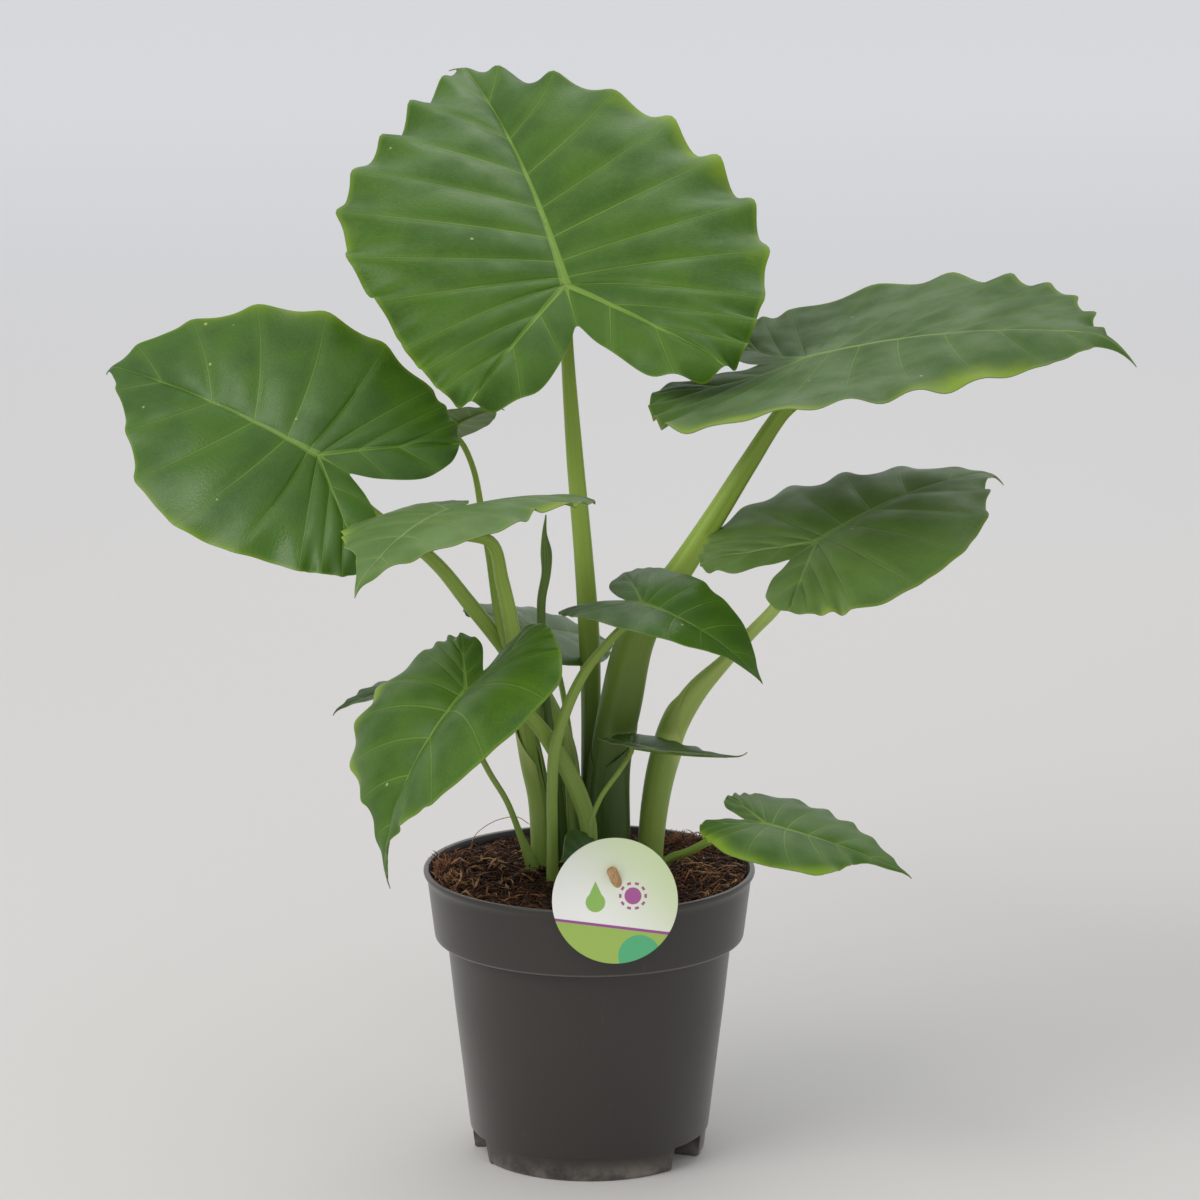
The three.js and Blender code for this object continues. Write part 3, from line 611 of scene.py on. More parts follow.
def blade(name, leaf):
    big = leaf["length"] > BIG_BLADE
    columns = (leaf["veins"] + LOBE_VEINS) * (12 if big else 6)
    rows = 40 if big else 22
    patches = []
    for side in (1, -1):
        patches.append(blade_patch(leaf, side, False, columns, rows))
        patches.append(blade_patch(leaf, side, True, columns * 3 // 10, rows))
    piece = join("leaf_blade_" + name, patches)
    weld(piece, 0.02, outwards=False)
    dress(piece, FINISHES[leaf["finish"]], UNDERSIDE, MARGIN)
    modify(piece, "SOLIDIFY", thickness=BLADE_THICKNESS * MM, offset=0, material_offset=1,
           material_offset_rim=2)
    complete(piece, None, 60, "blade_" + name)


# Stalks and ribs

def tube(name, stations, sides, step=4, section=None, first=(0, -1, 0), twist=0):
    """A closed tube along a smooth line, its radius times section(angle)."""
    span = sum(math.dist(a[:3], b[:3]) for a, b in zip(stations, stations[1:]))
    rings = max(6, int(span / step))
    line, along, radius = smooth_path(stations, rings + 1)
    side, other = carried_frames(along, first)

    def place(s, t):
        ring = np.rint(s * rings).astype(int)
        angle = 2 * np.pi * t
        r = radius[ring] * (section(angle) if section else 1)
        turned = angle + twist * s
        out, round_it = (r * np.cos(turned))[:, None], (r * np.sin(turned))[:, None]
        return line[ring] + out * side[ring] + round_it * other[ring]

    piece, s, _ = sheet(name, rings, sides, place)
    set_attribute(piece, "share", s)
    set_attribute(piece, "height", line[np.rint(s * rings).astype(int), 2] / TONE_HEIGHT)
    weld(piece, 0.002)
    edit(piece)
    bpy.ops.mesh.select_all(action="DESELECT")
    bpy.ops.mesh.select_non_manifold()
    bpy.ops.mesh.edge_face_add()
    leave_edit()
    return piece


def rooted(stations):
    return [(stations[0][0], stations[0][1], ROOTED_TO, stations[0][3])] + list(stations)


def channelled(angle):
    """A stalk's round section with a shallow channel down its front and a keel to each side of it."""
    turn = (angle + np.pi) % (2 * np.pi) - np.pi
    channel = 0.13 * np.exp(-((turn / 0.35) ** 2))
    keels = 0.06 * np.exp(-(((np.abs(turn) - 0.75) / 0.3) ** 2))
    return 1 - channel + keels


def stalk(name, leaf):
    up = leaf_axes(leaf)[2]
    radius = leaf["stalk"][-1][3]
    junction = np.array(leaf["at"], float)
    neck = junction - up * 3 * radius
    end = junction - up * 0.3
    stations = rooted(leaf["stalk"]) + [(*neck, radius), (*end, radius * 1.05)]
    piece = tube("leaf_stalk_" + name, stations, 28 if radius > 3 else 18, section=channelled,
                 first=(0.3, -1, 0))
    complete(piece, STALK_TONES.get(name, STALK), 70, "stalk_" + name)


def blade_ribs(name, leaf):
    """The midrib and the two lobe veins, standing proud of the blade's underside."""
    size = vein_scale(leaf)
    pieces = []

    def rib(points, radii):
        mid, up = bent_place(leaf, *np.array(points, float).T)
        low = mid - up * (np.array(radii) * 0.75)[:, None]
        stations = [(*p, r) for p, r in zip(low, radii)]
        pieces.append(tube("rib", stations, 10, step=5, first=tuple(up[0])))

    length = leaf["length"]
    shares = np.linspace(0, 0.96, 9)
    rib([(length * k, 0) for k in shares], [(2.9 * (1 - k) ** 1.2 + 0.35) * size for k in shares])
    lobe = math.radians(LOBE_ANGLE)
    for side in (1, -1):
        reach = LOBE_VEIN_REACH * float(margin_radius(leaf, side, LOBE_ANGLE))
        shares = np.linspace(0, 0.95, 6)
        rib([(reach * k * math.cos(lobe), side * reach * k * math.sin(lobe)) for k in shares],
            [(1.9 * (1 - k) ** 1.1 + 0.3) * size for k in shares])
    complete(join("leaf_ribs_" + name, pieces), RIB, 70)


def sheath(name, leaf_name, top, wrap, slack, facing, flare, material):
    """A thin sheath round a stalk's lower part, open towards facing and ending in a slanting lip at a
    height, with its highest point at the back standing off the stalk."""
    steps, slant = 160, 0.34
    line, along, radius = smooth_path(rooted(LEAVES[leaf_name]["stalk"]), steps + 1)
    side, other = carried_frames(along, facing)
    end = float(np.interp(top, line[:, 2], np.arange(steps + 1)))

    def place(s, t):
        angle = math.radians(wrap) * (t - 0.5)
        edge = np.abs(2 * t - 1)
        index = np.clip(end * s * (1 - slant * edge**0.75), 0, steps)
        low = np.floor(index).astype(int)
        high = np.minimum(low + 1, steps)
        part = index - low
        centre = line[low] * (1 - part)[:, None] + line[high] * part[:, None]
        r = radius[low] * (1 - part) + radius[high] * part + slack * (1 - 0.5 * edge**2)
        r = r + flare * s**6
        return centre - (r * np.cos(angle))[:, None] * side[low] + (r * np.sin(angle))[:, None] * other[low]

    piece, s, _ = sheet(name, 70, 40, place)
    set_attribute(piece, "share", s)
    set_attribute(piece, "height", points_of(piece)[:, 2] / (TONE_HEIGHT * MM))
    modify(piece, "SOLIDIFY", thickness=SHEATH_THICKNESS * MM, offset=0)
    complete(piece, material, 60)


def new_leaf():
    """The leaf still rolled up, with the free edge of the roll winding up it."""
    def rolled(angle):
        return 1 + (0.14 * (angle / (2 * np.pi)) - 0.07)

    piece = tube("rolled_new_leaf", rooted(NEW_LEAF), 32, step=2.5, section=rolled, first=(1, -1, 0),
                 twist=2.4)
    complete(piece, NEW_GREEN, 35, "new_leaf")


def sheath_leaf():
    piece = tube("crown_sheath_leaf", rooted(SHEATH_LEAF), 24, step=2.5, section=channelled)
    complete(piece, SHEATH, 60, "sheath_leaf")


# Pot

def pot_outside():
    """The wall's outside from the middle of the underside to the rim's top."""
    lip = [(RIM_RADIUS - 0.9 + 0.9 * math.cos(a), POT_HEIGHT - 1.5 + 1.5 * math.sin(a))
           for a in np.linspace(-0.7, math.pi / 2, 6)]
    return [(0, 0), (30, 0), (31, 0.4), (32, 1.5), (57, 1.5), (58, 0.4), (59, 0), (71.6, 0), (72.3, 0.5),
            (73.6, 3), (75, FOOT_HEIGHT), (75.3, FOOT_HEIGHT + 0.5), (75.9, FOOT_HEIGHT + 0.7),
            (76.2, FOOT_HEIGHT + 1.2), (85.8, 98), (90.1, 138.6), (90.4, 139.7), (91.2, 140.4),
            (92.4, 140.6), (96.6, 140.9), (97.3, 141.1), (97.8, 141.6), (98.05, 142.3), (98.5, 145.4),
            (102, 174), (102.3, 177), (103, 179.4), (104.1, 181), (104.7, 182)] + lip


def pot_inside():
    """The wall's inside from the rim's inner edge down to the middle of the floor."""
    return [(RIM_INNER + 0.9, POT_HEIGHT), (RIM_INNER + 0.2, POT_HEIGHT - 0.4),
            (RIM_INNER - 0.2, POT_HEIGHT - 1.4), (100.4, 178), (99.6, 172), (96.5, 146.6), (96, 144.4),
            (94.8, 143.2), (89.4, 142), (88.6, 141.2), (88.4, 139.8), (84.1, 98), (74.2, 19), (72.6, 3.4),
            (0, 3.4)]


def spun(name, profile, steps, turn=360, start=0, closed=False):
    """A profile of (radius, height) spun about the upright axis: all the way round, or a wedge of a
    closed profile."""
    points = [(radius, 0, height) for radius, height in profile]
    count = len(points)
    if closed:
        piece = new_piece(name, points, [list(range(count))])
    else:
        piece = new_piece(name, points, [], [(i, i + 1) for i in range(count - 1)])
    edit(piece)
    bpy.ops.mesh.spin(steps=steps, angle=math.radians(turn), center=(0, 0, 0), axis=(0, 0, 1))
    leave_edit(False)
    weld(piece, 0.001)
    piece.rotation_euler[2] = math.radians(start)
    place_upright()
    return piece


def wedge(name, inner, outer, low, high, middle, width, lean=0):
    """A sector of a ring, whose ends lean in towards its top."""
    piece = spun(name, [(inner, low), (outer, low), (outer, high), (inner, high)], 8, width,
                 middle + width / 2, closed=True)
    points = points_of(piece)
    angle = np.arctan2(points[:, 1], points[:, 0]) - math.radians(middle)
    angle = (angle + np.pi) % (2 * np.pi) - np.pi
    radius = np.hypot(points[:, 0], points[:, 1])
    angle *= 1 - lean * np.clip(points[:, 2] / MM, 0, None) / high
    angle += math.radians(middle)
    points[:, 0], points[:, 1] = radius * np.cos(angle), radius * np.sin(angle)
    set_points(piece, points)
    return piece


def combine(body, tool, operation):
    modify(body, "BOOLEAN", operation=operation, object=tool, solver="MANIFOLD")
    bpy.data.objects.remove(tool)


def pot():
    """The pot with a shell round each foot notch, and a drain hole over it."""
    body = spun("nursery_pot", pot_outside() + pot_inside(), 144)
    cutters = []
    for angle in NOTCH_ANGLES:
        shell = wedge("shell", NOTCH_INNER - NOTCH_SHELL, SHELL_OUTER, 1, FOOT_HEIGHT + NOTCH_SHELL, angle,
                      NOTCH_WIDTH + 4, 0.05)
        combine(body, shell, "UNION")
        cutters.append(wedge("notch", NOTCH_INNER, NOTCH_OUTER, -1, FOOT_HEIGHT, angle, NOTCH_WIDTH, 0.12))
        at = math.radians(angle)
        drain = (DRAIN_AT * math.cos(at), DRAIN_AT * math.sin(at), FOOT_HEIGHT)
        cutters.append(rod("drain", 24, DRAIN_RADIUS, 12, drain))
    for cutter in cutters:
        combine(body, cutter, "DIFFERENCE")
    bevel(body, 0.35, 2, 50)
    complete(body, POT_PLASTIC, 35, "pot")


# Substrate

def hump(x, y, at, reach):
    """1 at a place, falling away over a reach in x and in y."""
    return np.exp(-(((x - at[0]) / reach[0]) ** 2 + ((y - at[1]) / reach[1]) ** 2))


def soil_height(x, y):
    """The substrate's top at a place, heaped towards the rim on the left, behind and on the right."""
    radius = np.hypot(x, y)
    height = np.interp(radius, [r for r, _ in SOIL_TOP], [z for _, z in SOIL_TOP])
    for at, reach, rise in HEAPS:
        height = height + rise * hump(x, y, at, reach)
    return height


def roughness_at(x, y):
    coarse = noise.fractal(Vector((x * 0.09, y * 0.09, 0)), 0.6, 2.0, 4)
    fine = noise.turbulence(Vector((x * 0.3, y * 0.3, 5)), 3, False)
    return 5.4 * coarse + 3 * (fine - 0.5)


def crust():
    """The substrate's crumbly top, closed underneath."""
    brim, foot_share = 0.9, 0.08

    def place(s, t):
        top = s < brim
        outwards = CRUST_RADIUS * np.clip(s / brim, 0, 1) ** 0.8
        radius = np.where(top, outwards, CRUST_RADIUS * np.clip((1 - s) / foot_share, 0, 1))
        angle = 2 * np.pi * t
        x, y = radius * np.cos(angle), radius * np.sin(angle)
        rough = np.array([roughness_at(a, b) for a, b in zip(x, y)])
        z = np.where(top, soil_height(x, y) + rough, CRUST_FOOT)
        return np.stack([x, y, z], axis=1)

    piece, _, _ = sheet("substrate_crust", 120, 260, place)
    weld(piece, 0.005)
    complete(piece, SOIL, 180)


def strands(name, routes, radii, shades):
    """Many thin fibres in one mesh, each a three-sided tube along its own route."""
    count, knots = routes.shape[:2]
    sides = 3
    along = np.gradient(routes, axis=1)
    along /= np.linalg.norm(along, axis=2)[..., None]
    across = np.cross(along, [0.3, 0.2, 1])
    across /= np.linalg.norm(across, axis=2)[..., None]
    other = np.cross(along, across)
    taper = np.array([0.35] + [1] * (knots - 2) + [0.2])
    corners = []
    for k in range(sides):
        angle = 2 * math.pi * k / sides
        reach = (radii[:, None] * taper)[..., None]
        corners.append(routes + reach * (across * math.cos(angle) + other * math.sin(angle)))
    points = np.stack(corners, axis=2).reshape(-1, 3)
    base = np.arange(count)[:, None, None] * knots * sides
    ring = np.arange(knots - 1)[None, :, None] * sides
    here = np.arange(sides)[None, None, :]
    after = (here + 1) % sides
    quads = np.stack([base + ring + here, base + ring + after, base + ring + sides + after,
                      base + ring + sides + here], axis=-1).reshape(-1, 4)
    caps = np.concatenate([(base[:, 0] + np.arange(sides)[::-1]),
                           (base[:, 0] + (knots - 1) * sides + np.arange(sides))])
    piece = new_piece(name, points, quads.tolist() + caps.tolist())
    set_attribute(piece, "shade", np.repeat(shades, knots * sides))
    complete(piece, FIBRE, 180)


def scattered(count):
    """Places spread evenly over the substrate's top."""
    radius = COIR_RADIUS * np.sqrt(chance.random(count))
    angle = 2 * np.pi * chance.random(count)
    return radius * np.cos(angle), radius * np.sin(angle)


def held_inside(x, y, limit):
    """Places moved in to a limit where they lie outside it."""
    share = np.minimum(1, limit / np.maximum(np.hypot(x, y), 1e-6))
    return x * share, y * share


def coir():
    """Coir fibres that lie matted over the crust, coarser and paler on the left and on the right."""
    count, knots = COIR_FIBRES, FIBRE_KNOTS
    x, y = scattered(count)
    pale = np.maximum(hump(x, y, *LEFT_BANK), 0.75 * hump(x, y, *RIGHT_BANK))
    length = chance.uniform(5, 15, count) * (1 + 0.8 * pale)
    heading = 2 * np.pi * chance.random(count)
    bend = chance.normal(0, 1.5, count)
    lift = np.abs(chance.normal(0, 0.35, count)) * (0.5 + 0.8 * pale)
    routes = np.empty((count, knots, 3))
    turn = heading
    for k in range(knots):
        share = k / (knots - 1)
        qx, qy = held_inside(x, y, COIR_RADIUS + 1)
        routes[:, k, 0], routes[:, k, 1] = qx, qy
        arch = 4 * share * (1 - share)
        rise = 0.6 + lift * length * (0.35 * arch + 0.25 * share)
        routes[:, k, 2] = soil_height(qx, qy) + rise + chance.normal(0, 0.4, count)
        turn = turn + bend / knots + chance.normal(0, 0.25, count)
        x = x + np.cos(turn) * length / (knots - 1)
        y = y + np.sin(turn) * length / (knots - 1)
    radii = (0.16 + 0.6 * chance.random(count) ** 2.5) * (0.8 + 0.7 * pale)
    bright = (0.35 + 1.1 * pale) * chance.random(count) ** 2.4
    shades = np.clip(0.03 + 0.32 * chance.random(count) ** 2 + bright, 0, 1)
    strands("coir_fibres", routes, radii, shades)


def stray_fibres():
    """Loose ends that stick up over the rim on the left and in a tuft at the back right, and one long
    thin hair that arches up from the coir."""
    count, knots = STRAY_FIBRES, FIBRE_KNOTS
    left = np.arange(count) < STRAY_ON_LEFT
    x = np.where(left, chance.normal(-89, 6, count), chance.normal(62, 13, count))
    y = np.where(left, chance.normal(-12, 20, count), chance.normal(56, 10, count))
    x, y = held_inside(x, y, COIR_RADIUS - 1)
    heading = np.where(left, chance.normal(math.radians(190), 0.9, count), 2 * np.pi * chance.random(count))
    lean = chance.uniform(0.25, 0.95, count)
    length = chance.uniform(6, 19, count)
    bend = chance.normal(0, 1.2, count)
    outward = np.where(left, 0.55, 1) * length * (1 - lean * 0.6)
    routes = np.empty((count, knots, 3))
    for k in range(knots):
        share = k / (knots - 1)
        turn = heading + bend * share
        routes[:, k, 0] = x + np.cos(turn) * outward * share
        routes[:, k, 1] = y + np.sin(turn) * outward * share
        routes[:, k, 2] = soil_height(x, y) + length * lean * (share - 0.35 * share**2) + 0.5
    strands("stray_fibres", routes, chance.uniform(0.18, 0.42, count), chance.uniform(0.25, 0.95, count))
    hair, _, _ = smooth_path(LONG_HAIR, 24)
    strands("long_hair", hair[None], np.array([0.3]), np.array([1.0]))


def crumbs():
    """Lumps of peat and chips of husk between the fibres."""
    deselect()
    bpy.ops.mesh.primitive_ico_sphere_add(subdivisions=1, radius=1)
    lump = bpy.context.object
    shape = points_of(lump)
    faces = np.array([list(p.vertices) for p in lump.data.polygons])
    bpy.data.objects.remove(lump)
    count = PEAT_CRUMBS
    x, y = scattered(count)
    pale = hump(x, y, *LEFT_BANK)
    points, all_faces = [], []
    for k in range(count):
        size = chance.uniform(0.8, 2.6, 3) * np.array([1, 1, 0.6])
        turned = shape * size * chance.uniform(0.75, 1.2, (len(shape), 1))
        a = chance.uniform(0, 2 * np.pi)
        spin = np.array([[math.cos(a), -math.sin(a), 0], [math.sin(a), math.cos(a), 0], [0, 0, 1]])
        height = float(soil_height(x[k], y[k])) + 0.5 + chance.uniform(-0.5, 1.2)
        points.append(turned @ spin.T + [x[k], y[k], height])
        all_faces.append(faces + k * len(shape))
    piece = new_piece("peat_crumbs", np.concatenate(points), np.concatenate(all_faces).tolist())
    shades = np.clip(0.08 + 0.5 * pale * chance.random(count) + 0.25 * chance.random(count), 0, 1)
    set_attribute(piece, "shade", np.repeat(shades, len(shape)))
    complete(piece, FIBRE, 50)


# Label and peg

def label():
    piece = rod("plant_label", 128, LABEL_RADIUS, LABEL_THICKNESS, LABEL_CENTRE,
                (math.radians(90 - LABEL_TILT), 0, 0))
    bevel(piece, 0.3, 3, 40)
    complete(piece, LABEL_CARD, 40, "label")


def peg():
    foot = Vector(PEG_FOOT)
    tip = foot.lerp(Vector(PEG_TIP), PEG_REACH)
    span = tip - foot
    piece = rod("label_peg_stick", 32, PEG_RADIUS, span.length, (foot + tip) / 2,
                span.to_track_quat("Z", "Y").to_euler())
    bevel(piece, 0.9, 4, 40)
    complete(piece, PEG_WOOD, 40, "label_peg")


# Node trees

def add(tree, kind, inputs=None, **settings):
    made = tree.nodes.new(kind)
    for key, value in settings.items():
        setattr(made, key, value)
    for key, value in (inputs or {}).items():
        if isinstance(value, bpy.types.NodeSocket):
            tree.links.new(value, made.inputs[key])
        else:
            made.inputs[key].default_value = value
    return made


def maths(tree, operation, *values, clamp=False):
    made = add(tree, "ShaderNodeMath", dict(enumerate(values)), operation=operation, use_clamp=clamp)
    return made.outputs[0]


def times(tree, a, b):
    return maths(tree, "MULTIPLY", a, b)


def plus(tree, a, b):
    return maths(tree, "ADD", a, b)


def minus(tree, a, b):
    return maths(tree, "SUBTRACT", a, b)


def ramped(tree, value, low, high, to_low=0.0, to_high=1.0):
    """A value eased from one range to another and held at its ends."""
    made = add(tree, "ShaderNodeMapRange",
               {"Value": value, "From Min": low, "From Max": high, "To Min": to_low, "To Max": to_high},
               interpolation_type="SMOOTHSTEP")
    return made.outputs[0]


def mixed(tree, factor, a, b):
    """A mix of two colours, each a socket, a linear colour or a screen colour of three values."""
    a, b = (colour(*c) if isinstance(c, tuple) and len(c) == 3 else c for c in (a, b))
    made = add(tree, "ShaderNodeMix", {0: factor, 6: a, 7: b}, data_type="RGBA")
    return made.outputs[2]


def attribute(tree, name):
    return add(tree, "ShaderNodeAttribute", attribute_name=name).outputs["Fac"]


def uv_parts(tree):
    uv = add(tree, "ShaderNodeUVMap")
    parts = add(tree, "ShaderNodeSeparateXYZ", {0: uv.outputs[0]})
    return parts.outputs[0], parts.outputs[1]


def noise_at(tree, vector, scale, detail=3.0, roughness=0.5):
    made = add(tree, "ShaderNodeTexNoise",
               {"Vector": vector, "Scale": scale, "Detail": detail, "Roughness": roughness})
    return made.outputs["Fac"]


def object_place(tree):
    return add(tree, "ShaderNodeTexCoord").outputs["Object"]


SOCKETS = {"value": "NodeSocketFloat", "colour": "NodeSocketColor", "vector": "NodeSocketVector"}


def new_group(name, inputs, outputs):
    """A node group with named sockets: inputs as name: (kind, value), outputs as name: kind."""
    tree = bpy.data.node_groups.new(name, "ShaderNodeTree")
    for key, (kind, value) in inputs.items():
        socket = tree.interface.new_socket(name=key, in_out="INPUT", socket_type=SOCKETS[kind])
        socket.default_value = value
    for key, kind in outputs.items():
        tree.interface.new_socket(name=key, in_out="OUTPUT", socket_type=SOCKETS[kind])
    return tree, tree.nodes.new("NodeGroupInput").outputs, tree.nodes.new("NodeGroupOutput")


def put(tree, output, **values):
    """Links values to the named inputs of a shader or a group's output."""
    for key, value in values.items():
        tree.links.new(value, output.inputs[key.replace("_", " ")])


def use(tree, group, **inputs):
    made = tree.nodes.new("ShaderNodeGroup")
    made.node_tree = group
    for key, value in inputs.items():
        socket = made.inputs[key.replace("_", " ")]
        if isinstance(value, bpy.types.NodeSocket):
            tree.links.new(value, socket)
        else:
            socket.default_value = value
    return made.outputs


def colour(red, green, blue):
    """A linear colour from the 0 to 255 values of a screen colour."""
    def linear(c):
        c /= 255
        return c / 12.92 if c <= 0.04045 else ((c + 0.055) / 1.055) ** 2.4

    return (linear(red), linear(green), linear(blue), 1.0)


def new_material(name, **uniform):
    """A material and its Principled shader, with the values that are the same all over."""
    material = bpy.data.materials.new(name)
    material.use_nodes = True
    shader = material.node_tree.nodes["Principled BSDF"]
    for key, value in uniform.items():
        shader.inputs[key.replace("_", " ")].default_value = value
    return material, material.node_tree, shader


def bump(tree, shader, height, strength, distance_mm):
    made = add(tree, "ShaderNodeBump",
               {"Height": height, "Strength": strength, "Distance": distance_mm * MM})
    tree.links.new(made.outputs[0], shader.inputs["Normal"])


def leaf_group():
    """Leaf tissue: mottled green with ribs, side veins, a fine net between them and yellowed places, with
    painted light and painted shade beside the veins.
    """
    tree, given, out = new_group(
        "leaf_tissue",
        {"Green": ("colour", colour(84, 124, 44)), "Deep": ("colour", colour(60, 98, 36)),
         "Vein": ("colour", colour(128, 160, 66)), "Yellow": ("colour", colour(168, 180, 40)),
         "Vein width": ("value", 0.55), "Gloss": ("value", 0.4)},
        {"Color": "colour", "Roughness": "value", "Height": "value"})
    n, t = uv_parts(tree)
    between = maths(tree, "FRACT", plus(tree, n, 0.5))
    whole = maths(tree, "ABSOLUTE", minus(tree, between, 0.5))
    off_vein = times(tree, whole, attribute(tree, "spacing"))
    width = times(tree, given["Vein width"], ramped(tree, t, 0.0, 1.0, 2.5, 0.6))
    in_vein = maths(tree, "SMOOTH_MIN", maths(tree, "DIVIDE", off_vein, width), 1.0, 0.2)
    side_vein = ramped(tree, maths(tree, "SUBTRACT", 1.0, in_vein, clamp=True), 0.25, 0.75)
    rib_share = maths(tree, "DIVIDE", attribute(tree, "rib"), attribute(tree, "rib_width"))
    rib = ramped(tree, rib_share, 1.25, 0.85)
    vein = maths(tree, "MAXIMUM", times(tree, side_vein, 0.6), times(tree, rib, 0.92))
    place = object_place(tree)
    patchy = noise_at(tree, place, 28.0, 4.0)
    grain = noise_at(tree, place, 420.0, 3.0)
    net_place = add(tree, "ShaderNodeCombineXYZ",
                    {0: times(tree, n, 9.0), 1: times(tree, t, 16.0)})
    net = add(tree, "ShaderNodeTexVoronoi",
              {"Vector": net_place.outputs[0], "Scale": 1.6, "Randomness": 0.8},
              feature="DISTANCE_TO_EDGE")
    net_line = ramped(tree, net.outputs["Distance"], 0.12, 0.0)
    # Painted light: a lighter band on the slopes beside each vein
    vein_side_light = ramped(tree, off_vein, 7.0, 0.0)
    # Painted shade: darker green in the furrows right beside the sunken veins
    furrow_shade = times(tree, ramped(tree, off_vein, 2.6, 0.8), 0.25)
    base = mixed(tree, ramped(tree, patchy, 0.35, 0.68), given["Green"], given["Deep"])
    base = mixed(tree, times(tree, vein_side_light, 0.2), base, given["Vein"])
    base = mixed(tree, furrow_shade, base, given["Deep"])
    base = mixed(tree, times(tree, net_line, 0.1), base, given["Vein"])
    base = mixed(tree, times(tree, grain, 0.2), base, given["Deep"])
    off_middle = minus(tree, patchy, 0.5)
    spread = plus(tree, attribute(tree, "yellowing"), times(tree, off_middle, 0.8))
    yellowed = times(tree, ramped(tree, spread, 0.15, 0.75),
                     ramped(tree, attribute(tree, "yellowing"), 0.0, 0.12))
    base = mixed(tree, yellowed, base, given["Yellow"])
    base = mixed(tree, ramped(tree, t, 0.965, 0.995, 0.0, 0.35), base, given["Yellow"])
    base = mixed(tree, vein, base, given["Vein"])
    specks = add(tree, "ShaderNodeTexVoronoi", {"Vector": place, "Scale": 34.0})
    speck = ramped(tree, specks.outputs["Distance"], 0.045, 0.03, 0.0, 0.55)
    base = mixed(tree, speck, base, (196, 200, 130))
    rough = plus(tree, given["Gloss"], times(tree, off_middle, 0.7))
    height = plus(tree, times(tree, side_vein, -0.35), times(tree, rib, 0.5))
    height = plus(tree, height, times(tree, net_line, -0.12))
    height = plus(tree, height, times(tree, grain, 0.14))
    put(tree, out, Color=base, Roughness=rough, Height=height)
    return tree


def streak_group():
    """Long streaks and faint ridges that run up a stem or along a stick."""
    tree, given, out = new_group(
        "long_streaks",
        {"Length": ("value", 3.0), "Round": ("value", 9.0), "Sharpness": ("value", 0.2)},
        {"Streaks": "value", "Fine": "value"})
    s, t = uv_parts(tree)
    turn = times(tree, t, 2 * math.pi)
    across = times(tree, maths(tree, "SINE", turn), given["Round"])
    over = times(tree, maths(tree, "COSINE", turn), given["Round"])
    up = times(tree, s, given["Length"])
    place = add(tree, "ShaderNodeCombineXYZ", {0: up, 1: across, 2: over})
    broad = noise_at(tree, place.outputs[0], 0.45, 2.0)
    fine = noise_at(tree, place.outputs[0], 1.7, 4.0, 0.6)
    half = minus(tree, 0.5, given["Sharpness"])
    streaks = ramped(tree, broad, half, plus(tree, 0.5, given["Sharpness"]))
    put(tree, out, Streaks=streaks, Fine=fine)
    return tree


def wear_group():
    """Faint scuffs, dust low down and a fine grain for moulded plastic."""
    tree, given, out = new_group(
        "scuffs_and_dust",
        {"Dust height": ("value", 0.02), "Scuffs": ("value", 0.5)},
        {"Dust": "value", "Scuff": "value", "Grain": "value"})
    place = object_place(tree)
    parts = add(tree, "ShaderNodeSeparateXYZ", {0: place})
    cloud = noise_at(tree, place, 40.0, 5.0, 0.65)
    low = ramped(tree, parts.outputs[2], given["Dust height"], 0.0)
    dust = times(tree, low, ramped(tree, cloud, 0.35, 0.7))
    stretched = add(tree, "ShaderNodeMapping",
                    {"Vector": place, "Scale": (60.0, 60.0, 7.0), "Rotation": (0.3, 0.2, 0.0)})
    lines = noise_at(tree, stretched.outputs[0], 3.0, 6.0, 0.7)
    scuff = times(tree, ramped(tree, lines, 0.62, 0.8), given["Scuffs"])
    grain = noise_at(tree, place, 1500.0, 2.0)
    put(tree, out, Dust=dust, Scuff=scuff, Grain=grain)
    return tree


LEAF_TISSUE = leaf_group()
LONG_STREAKS = streak_group()
WEAR = wear_group()


def leaf_material(name, green, deep, vein, yellow, width, gloss, specular, height=0.5):
    material, tree, shader = new_material(name, Specular_IOR_Level=specular)
    made = use(tree, LEAF_TISSUE, Green=colour(*green), Deep=colour(*deep), Vein=colour(*vein),
               Yellow=colour(*yellow), Vein_width=width, Gloss=gloss)
    put(tree, shader, Base_Color=made["Color"], Roughness=made["Roughness"])
    bump(tree, shader, made["Height"], height, 0.6)
    return material


def stem_material(name, top, base, streak, gloss, streaked=0.45):
    """A stem's colour from its base to its top, streaked along its length."""
    material, tree, shader = new_material(name)
    made = use(tree, LONG_STREAKS, Length=6.0)
    tone = mixed(tree, ramped(tree, attribute(tree, "height"), 0.36, 0.7), base, top)
    tone = mixed(tree, times(tree, made["Streaks"], streaked), tone, streak)
    put(tree, shader, Base_Color=tone, Roughness=plus(tree, gloss, times(tree, made["Fine"], 0.15)))
    bump(tree, shader, made["Fine"], 0.2, 0.3)
    return material


# Leaf finishes: the green, a deeper one, the veins' and the yellowed places' colour, then the width of
# the side veins in millimetres, roughness and specular level
LEAF_TONES = {
    "fresh": ((72, 108, 26), (56, 92, 19), (116, 150, 56), (124, 156, 34), 0.45, 0.44, 0.24),
    "waxy": ((68, 106, 26), (52, 88, 19), (104, 138, 50), (122, 154, 34), 0.5, 0.38, 0.34),
    "sheen": ((74, 104, 40), (60, 90, 31), (104, 134, 62), (124, 150, 42), 0.45, 0.56, 0.25),
    # The pale finish's lighter, greyer green is partly painted sheen, for leaves seen at a grazing angle
    "pale": ((98, 128, 62), (82, 112, 48), (128, 154, 86), (142, 164, 56), 0.45, 0.5, 0.3),
    "deep": ((56, 88, 24), (42, 72, 17), (86, 118, 42), (112, 140, 34), 0.45, 0.42, 0.25),
}
FINISHES = {key: leaf_material(f"leaf_{key}_green", *tones) for key, tones in LEAF_TONES.items()}
